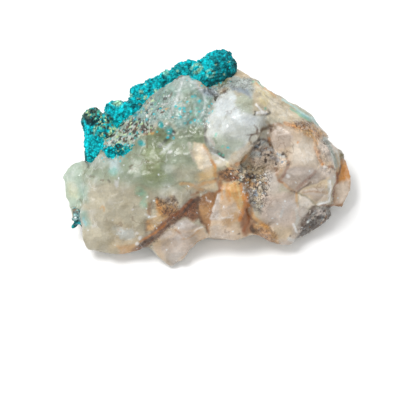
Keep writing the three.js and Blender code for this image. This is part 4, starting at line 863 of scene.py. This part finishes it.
def eased(points, edges, rounds, pull):
    """Points drawn towards the middle of their neighbours, so many times over."""
    first, second = edges.T
    count = np.maximum(np.bincount(edges.ravel(), minlength=len(points)), 1)[:, None]
    for _ in range(rounds):
        total = np.stack([np.bincount(first, points[second, axis], len(points)) +
                          np.bincount(second, points[first, axis], len(points)) for axis in range(3)], axis=1)
        points = points + pull * (total / count - points)
    return points


def normals_of(points, faces):
    """A unit normal for each vertex."""
    corners = np.array([face for face in faces if len(face) == 4])
    first, second, third, fourth = (points[corner] for corner in corners.T)
    span = np.cross(third - first, fourth - second)
    normal = np.zeros_like(points)
    for corner in corners.T:
        for axis in range(3):
            normal[:, axis] += np.bincount(corner, span[:, axis], len(points))
    return normal / np.maximum(np.linalg.norm(normal, axis=1, keepdims=True), 1e-12)


def hollowness(points, normals, edges, rounds):
    """How far each vertex lies below its surroundings, averaged over so many rings of neighbours."""
    return np.einsum("ij,ij->i", eased(points, edges, rounds, 0.8) - points, normals)


def in_box(points):
    """Points kept inside the box of the modelled part."""
    return np.clip(points, np.array(cad_low) / MM, np.array(cad_high) / MM)


def add_colours(mesh, name, values):
    """Gives each vertex of a mesh a colour."""
    layer = mesh.color_attributes.new(name, "FLOAT_COLOR", "POINT")
    layer.data.foreach_set("color", np.column_stack([np.clip(values, 0, 1), np.ones(len(values))]).ravel())


def make_piece(name, node, points, faces, colours, material):
    """An object with named colours on its vertices, in metres, standing in for a node."""
    mesh = bpy.data.meshes.new(name)
    mesh.from_pydata((in_box(points) * MM).tolist(), [], faces)
    mesh.shade_smooth()
    for layer, values in colours.items():
        add_colours(mesh, layer, values)
    mesh.materials.append(material)
    piece = bpy.data.objects.new(name, mesh)
    bpy.context.scene.collection.objects.link(piece)
    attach(piece, "root")
    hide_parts(node)


def quartz_relief(points, places):
    """How deep the quartz is cut below its broad form: scoops with ridges, steps, and grainy places."""
    depth = np.zeros(len(points))
    for size, deep, seed in SCOOPS:
        nearest, scoop = grains(points, size, seed)
        depth += deep * (0.4 + scoop[:, 1]) * (SCOOP_LEVEL - nearest ** 2)
    size, deep, seed = FINE_SCOOP
    depth += deep * (0.6 - grains(points, size, seed)[0] ** 2)
    depth += STEP_DEPTH * scoop[:, 2]
    for size, relief, _, outline in GRAINY:
        nearest, own = grains(points, size, 11)
        cover = smooth_step(-0.6, 0.4, depth_inside(places, outline))
        depth += cover * relief * (nearest + 0.5 * own[:, 0] - 0.5)
    return depth - depth.mean()


def quartz_paint(points, normals, places, creases):
    """The colours of the quartz, with painted highlights on its ridges and painted shade in its deep
    recesses.
    """
    paint = np.tile(colour("beige"), (len(points), 1))
    paint = laid_over(paint, "sand", 0.5 * smooth_step(-0.2, 0.8, swell(points, 7, 41)))
    paint = laid_over(paint, "milky", 0.5 * smooth_step(0, 0.8, swell(points, 5, 42)))
    hidden = paint
    paint = with_marks(paint, points, places, AREAS, STREAKS, SPOTS)
    paint = crumbled(paint, points, places, CRUMBS, CRUMBLY)
    paint = crumbled(paint, points, places, STAINED_CRUMBS, STAINED_CRUMBLY)
    seen = smooth_step(-0.2, 0.1, normals @ BACK)[:, None]
    paint = hidden + seen * (paint - hidden)
    for size, _, contrast, outline in GRAINY:
        _, own = grains(points, size, 11)
        tone = 1 + contrast * smooth_step(-0.6, 0.4, depth_inside(places, outline)) * (2 * own[:, 1] - 1)
        paint = paint * tone[:, None]
    size, _, seed = SCOOPS[-1]
    _, scoop = grains(points, size, seed)
    paint = paint * (1 + 0.12 * (2 * scoop[:, 1:2] - 1))
    clouds = 0.7 * swell(points, 2.8, 43) + 0.5 * swell(points, 1.3, 44) + 0.15 * swell(points, 0.6, 45)
    pale = smooth_step(0.03, 0.25, paint.min(axis=1))
    paint = laid_over(paint, "white", 0.22 * pale * smooth_step(0.15, 0.9, clouds))
    paint = paint * (1 - smooth_step(0.1, 0.8, -clouds)[:, None] * CLEAR_LOSS)
    # Ridges whitened: partly crushed quartz, partly a painted highlight.
    paint = laid_over(paint, "white", (0.12 + 0.3 * pale) * smooth_step(0.04, 0.25, -creases))
    # Deep recesses darkened: painted shade, with some iron staining.
    deep = smooth_step(0.03, 0.25, creases)[:, None]
    return QUARTZ_TONE * paint * (1 - deep * HOLLOW_SHADE_AND_STAIN_LOSS)


def nearness(points, surface, reach):
    """How near points lie to a surface: 1 on it, 0 from reach on."""
    found = (surface.find_nearest(Vector(point), reach) for point in points)
    return 1 - np.array([reach if hit[0] is None else hit[3] for hit in found]) / reach


def speck_shares(points, places, crust):
    """How thick scribbles, white specks and teal specks lie; teal ones gather round the crust too."""
    wide = wandering(points, places, 0.6)
    shares = np.zeros((len(points), 3))
    for channel, zones in enumerate((SCRIBBLES, WHITE_SPECKS, TEAL_SPECKS)):
        for share, edge, outline in zones:
            cover = share * smooth_step(-edge, edge, depth_inside(wide, outline))
            shares[:, channel] = np.maximum(shares[:, channel], cover)
    shares[:, 2] = np.maximum(shares[:, 2], 0.55 * nearness(points, crust, 1.6))
    return shares


def make_quartz(crust):
    """The quartz, finely broken and stained; gives back its points and faces."""
    points, faces = dense_copy("quartz", QUARTZ_CELL)
    edges = edges_of(faces)
    points = eased(points, edges, 3, 0.6)
    normals = normals_of(points, faces)
    places = picture_place(points)
    points = points - normals * quartz_relief(points, places)[:, None]
    normals = normals_of(points, faces)
    creases = hollowness(points, normals, edges, 5)
    places = picture_place(points)
    colours = {
        "paint": quartz_paint(points, normals, places, creases),
        "specks": speck_shares(points, places, crust),
    }
    make_piece("quartz_stone", "quartz", points, faces, colours, quartz_material())
    return points, faces


def seated(points, ground):
    """Crust points drawn down on to the quartz where they all but touch it."""
    moved = points.copy()
    for number, point in enumerate(points):
        place, _, _, distance = ground.find_nearest(Vector(point), SEATING_REACH)
        if place is None:
            continue
        moved[number] += (np.array(place) - point) * (1 - smooth_step(0.7, 1.3, distance))
    return moved


def make_crust(name, node, cell, size, ground, marks, base):
    """Crust: small grains packed over rounded lumps, bright on their crowns, with painted shade in dark teal
    between lumps and grains and in recesses.
    """
    points, faces = dense_copy(node, cell)
    edges = edges_of(faces)
    points = eased(points, edges, 4, 0.6)
    normals = normals_of(points, faces)
    lump, lump_own = grains(points, 2.6 * size, 21)
    grain, grain_own = grains(points, size, 22)
    depth = 0.9 * size * (lump ** 1.5 - 0.25)
    depth += 0.8 * size * (grain ** 2 - 0.25)
    depth += 0.2 * (grain_own[:, 2] - 0.5)
    points = points - normals * depth[:, None]
    margin = nearness(points, ground, 1.0)
    points = seated(points, ground)
    normals = normals_of(points, faces)
    places = picture_place(points)
    paint = np.tile(colour(base), (len(points), 1))
    paint = laid_over(paint, "bright_turquoise", 0.6 * smooth_step(-0.3, 0.5, swell(points, 2.2, 51)))
    paint = with_marks(paint, points, places, *marks)
    paint = crumbled(paint, points, places, CRUST_CRUMBS, CRUST_CRUMBLY)
    tone = 1 + 0.2 * (2 * lump_own[:, 1] - 1) + 0.25 * (2 * grain_own[:, 1] - 1)
    paint = paint * tone[:, None]
    # Dark teal between lumps, between grains and in recesses: painted shade.
    paint = laid_over(paint, "dark_teal", 0.5 * smooth_step(0.65, 1.0, lump))
    paint = laid_over(paint, "dark_teal", 0.6 * smooth_step(0.55, 0.95, grain))
    hollows = hollowness(points, normals, edges, 6)
    paint = laid_over(paint, "dark_teal", 0.5 * smooth_step(0.04, 0.25, hollows))
    crumbly = smooth_step(0.35, 0.9, margin) * (grain_own[:, 0] > 0.5)
    paint = laid_over(paint, "stone_grey", 0.7 * crumbly)
    make_piece(name, node, points, faces, {"paint": CRUST_TONE * paint}, crust_material())


def node_in(tree, kind, **values):
    """A shader node with its settings."""
    made = tree.nodes.new(kind)
    for key, value in values.items():
        setattr(made, key, value)
    return made


def set_sockets(node, values):
    """Sets a node's own sockets by name."""
    for name, value in values.items():
        node.inputs[name].default_value = value


def channels_of(tree, socket):
    """The red, green and blue of a colour socket."""
    split = node_in(tree, "ShaderNodeSeparateColor")
    tree.links.new(socket, split.inputs["Color"])
    return split.outputs


def bare_material(name):
    """A material with only its surface shader, and the tree that holds it."""
    material = bpy.data.materials.new(name)
    material.use_nodes = True
    return material, material.node_tree, material.node_tree.nodes["Principled BSDF"]


def noise_in(tree, size, detail):
    """Noise over the object's own places, with bumps about size millimetres across."""
    place = node_in(tree, "ShaderNodeTexCoord")
    noise = node_in(tree, "ShaderNodeTexNoise")
    set_sockets(noise, {"Scale": 1 / (size * MM), "Detail": detail})
    tree.links.new(place.outputs["Object"], noise.inputs["Vector"])
    return noise.outputs["Fac"]


def ranged(tree, value, low, high, start=0.3, end=0.7):
    """A value between start and end spread over low to high."""
    spread = node_in(tree, "ShaderNodeMapRange")
    set_sockets(spread, {"From Min": start, "From Max": end, "To Min": low, "To Max": high})
    tree.links.new(value, spread.inputs["Value"])
    return spread.outputs["Result"]


def painted(tree, size, low, high):
    """The paint attribute, made a little lighter and darker by fine noise."""
    paint = node_in(tree, "ShaderNodeVertexColor", layer_name="paint")
    tone = ranged(tree, noise_in(tree, size, 4), low, high)
    return mixed(tree, paint.outputs["Color"], tone, 1.0, "MULTIPLY")


def seeds_in(tree, size):
    """Seeds strewn about size millimetres apart: the distance to the nearest, and its random colour."""
    place = node_in(tree, "ShaderNodeTexCoord")
    drift = node_in(tree, "ShaderNodeTexNoise")
    drift.inputs["Scale"].default_value = 1.6 / (size * MM)
    tree.links.new(place.outputs["Object"], drift.inputs["Vector"])
    push = node_in(tree, "ShaderNodeVectorMath", operation="MULTIPLY_ADD")
    push.inputs[1].default_value = [0.9 * size * MM] * 3
    tree.links.new(drift.outputs["Color"], push.inputs[0])
    tree.links.new(place.outputs["Object"], push.inputs[2])
    seeds = node_in(tree, "ShaderNodeTexVoronoi")
    seeds.inputs["Scale"].default_value = 1 / (size * MM)
    tree.links.new(push.outputs["Vector"], seeds.inputs["Vector"])
    return seeds.outputs["Distance"], seeds.outputs["Color"]


def mixed(tree, under, over, cover, blend="MIX"):
    """One colour, or a socket's colour, over another where cover says."""
    mix = node_in(tree, "ShaderNodeMix", data_type="RGBA", blend_type=blend)
    for socket, value in (("A", under), ("B", over), ("Factor", cover)):
        target = next(found for found in mix.inputs if found.name == socket and found.enabled)
        if isinstance(value, bpy.types.NodeSocket):
            tree.links.new(value, target)
        else:
            target.default_value = value
    return next(found for found in mix.outputs if found.enabled)


def calculated(tree, operation, *values):
    """A sum, product or comparison of values."""
    made = node_in(tree, "ShaderNodeMath", operation=operation)
    for socket, value in zip(made.inputs, values):
        if isinstance(value, bpy.types.NodeSocket):
            tree.links.new(value, socket)
        else:
            socket.default_value = value
    return made.outputs[0]


def with_specks(tree, under):
    """A colour with scribbles and white and teal specks over it, as thick as the specks attribute says; the
    white specks are partly painted glints.
    """
    shares = node_in(tree, "ShaderNodeVertexColor", layer_name="specks")
    scribbled, white, teal = channels_of(tree, shares.outputs["Color"])
    line = calculated(tree, "MULTIPLY", line_in(tree, 0.8, 0.045), scribbled)
    under = mixed(tree, under, (*colour("dark_umber"), 1), calculated(tree, "MULTIPLY", line, 1.9))
    for share, name, size in ((white, "frost", 0.5), (teal, "turquoise", 0.75)):
        distance, random = seeds_in(tree, size)
        own = channels_of(tree, random)
        reach = calculated(tree, "MULTIPLY_ADD", own[1], 0.35, distance)
        close = ranged(tree, reach, 0.85, 0)
        chosen = calculated(tree, "LESS_THAN", own[0], share)
        cover = calculated(tree, "MULTIPLY", close, chosen)
        under = mixed(tree, under, (*colour(name), 1), cover)
    return under


def line_in(tree, size, width):
    """Lines wandering through the stone about size millimetres apart: 1 on a line, 0 off it."""
    middle = calculated(tree, "SUBTRACT", noise_in(tree, size, 3), 0.5)
    return ranged(tree, calculated(tree, "ABSOLUTE", middle), 1, 0, 0.3 * width, width)


def with_veinlets(tree, under):
    """A colour with thin broken lines wandering over it."""
    for name, size, width, strength in VEINLETS:
        broken = ranged(tree, noise_in(tree, 1.3 * size, 2), 0, strength, 0.53, 0.62)
        cover = calculated(tree, "MULTIPLY", line_in(tree, size, width), broken)
        under = mixed(tree, under, (*colour(name), 1), cover)
    return under


def bumped(tree, shader, pattern, height):
    """Fine bumps on the surface, so many millimetres high where the pattern is 1."""
    bump = node_in(tree, "ShaderNodeBump")
    set_sockets(bump, {"Distance": height * MM})
    tree.links.new(pattern, bump.inputs["Height"])
    tree.links.new(bump.outputs["Normal"], shader.inputs["Normal"])


def quartz_material():
    """Milky quartz: light goes a millimetre or so into it, and broken faces shine."""
    material, tree, shader = bare_material("quartz")
    fine = ranged(tree, noise_in(tree, 0.4, 2), 0.92, 1.07)
    base = mixed(tree, painted(tree, 1.4, 0.92, 1.08), fine, 1.0, "MULTIPLY")
    tree.links.new(with_specks(tree, with_veinlets(tree, base)), shader.inputs["Base Color"])
    tree.links.new(ranged(tree, noise_in(tree, 2.5, 3), 0.18, 0.5), shader.inputs["Roughness"])
    set_sockets(shader, {"Subsurface Weight": 0.2, "Subsurface Radius": (1.0, 0.85, 0.7)})
    set_sockets(shader, {"Subsurface Scale": 0.9 * MM, "IOR": 1.54})
    bumped(tree, shader, noise_in(tree, 0.9, 5), 0.16)
    return material


def crust_material():
    """Chrysocolla: dull and finely grained, each grain in its own tone, with a painted highlight in aqua on
    the middle of some grains and painted shade in dark teal between grains here and there.
    """
    material, tree, shader = bare_material("crust")
    distance, random = seeds_in(tree, CRUST_GRAIN)
    own = channels_of(tree, random)
    tone = ranged(tree, own[0], 0.72, 1.32, 0, 1)
    base = mixed(tree, painted(tree, 0.35, 0.85, 1.15), tone, 1.0, "MULTIPLY")
    # Aqua on the middle of some grains: a painted highlight.
    middle = ranged(tree, distance, 0.7, 0, 0.1, 0.4)
    grain_highlight = calculated(tree, "MULTIPLY", middle, ranged(tree, own[1], 0, 1, 0.5, 1))
    base = mixed(tree, base, (*colour("aqua"), 1), grain_highlight)
    # Dark teal between grains, patchy: painted shade.
    rim = ranged(tree, distance, 0, 0.9, 0.4, 0.7)
    gap_shade = calculated(tree, "MULTIPLY", rim, ranged(tree, noise_in(tree, 1.2, 2), 0.1, 1))
    base = mixed(tree, base, (*colour("dark_teal"), 1), gap_shade)
    tree.links.new(base, shader.inputs["Base Color"])
    tree.links.new(ranged(tree, noise_in(tree, 1.2, 3), 0.5, 0.75), shader.inputs["Roughness"])
    set_sockets(shader, {"Specular IOR Level": 0.14})
    bumped(tree, shader, ranged(tree, distance, 1, 0, 0, 0.8), 0.3)
    return material


def floor_material():
    """White paper."""
    material, tree, shader = bare_material("floor")
    tree.links.new(ranged(tree, noise_in(tree, 40, 2), 0.93, 0.95), shader.inputs["Base Color"])
    set_sockets(shader, {"Roughness": 0.9, "Specular IOR Level": 0.1})
    return material


def make_floor():
    """A white floor wide enough to fill the picture."""
    half = FLOOR_HALF
    corners = [(-half, -half, 0), (half, -half, 0), (half, half, 0), (-half, half, 0)]
    mesh = bpy.data.meshes.new("floor")
    mesh.from_pydata(corners, [], [(0, 1, 2, 3)])
    mesh.materials.append(floor_material())
    floor = bpy.data.objects.new("floor", mesh)
    bpy.context.scene.collection.objects.link(floor)


def add_light(name, place, size, power):
    """A soft square light that faces the stone."""
    lamp = bpy.data.lights.new(name, "AREA")
    lamp.size = size
    lamp.energy = power
    light = bpy.data.objects.new(name, lamp)
    light.location = place
    light.rotation_euler = (-Vector(place)).to_track_quat("-Z", "Y").to_euler()
    bpy.context.scene.collection.objects.link(light)


def light_the_stage():
    """A bright even room with one large lamp behind the stone to the left."""
    scene = bpy.context.scene
    scene.view_settings.view_transform = "Standard"
    scene.world = bpy.data.worlds.new("room")
    scene.world.use_nodes = True
    sky = scene.world.node_tree.nodes["Background"]
    set_sockets(sky, {"Color": (1, 1, 1, 1), "Strength": SKY_STRENGTH})
    add_light("window", LAMP_PLACE, LAMP_SIZE, LAMP_POWER)


def place_camera():
    """The photograph's camera."""
    camera = bpy.data.cameras.new("camera")
    camera.lens = LENS
    camera.sensor_width = SENSOR
    camera.clip_start = 0.01
    holder = bpy.data.objects.new("camera", camera)
    holder.location = (AIM + DISTANCE * BACK) * MM
    holder.rotation_euler = (math.pi / 2 - VIEW_ELEVATION, 0, 0)
    bpy.context.scene.collection.objects.link(holder)
    bpy.context.scene.camera = holder


plain_crust = surface_of(*dense_copy("chrysocolla_crust", CRUST_CELL))
ground = surface_of(*make_quartz(plain_crust))
crust_marks = (CRUST_AREAS, CRUST_STREAKS, CRUST_SPOTS)
patch_marks = (PATCH_AREAS, PATCH_STREAKS, [])
make_crust("crust", "chrysocolla_crust", CRUST_CELL, 0.55, ground, crust_marks, "turquoise")
make_crust("patch", "chrysocolla_patch", PATCH_CELL, 0.5, ground, patch_marks, "teal")
make_floor()
light_the_stage()
place_camera()
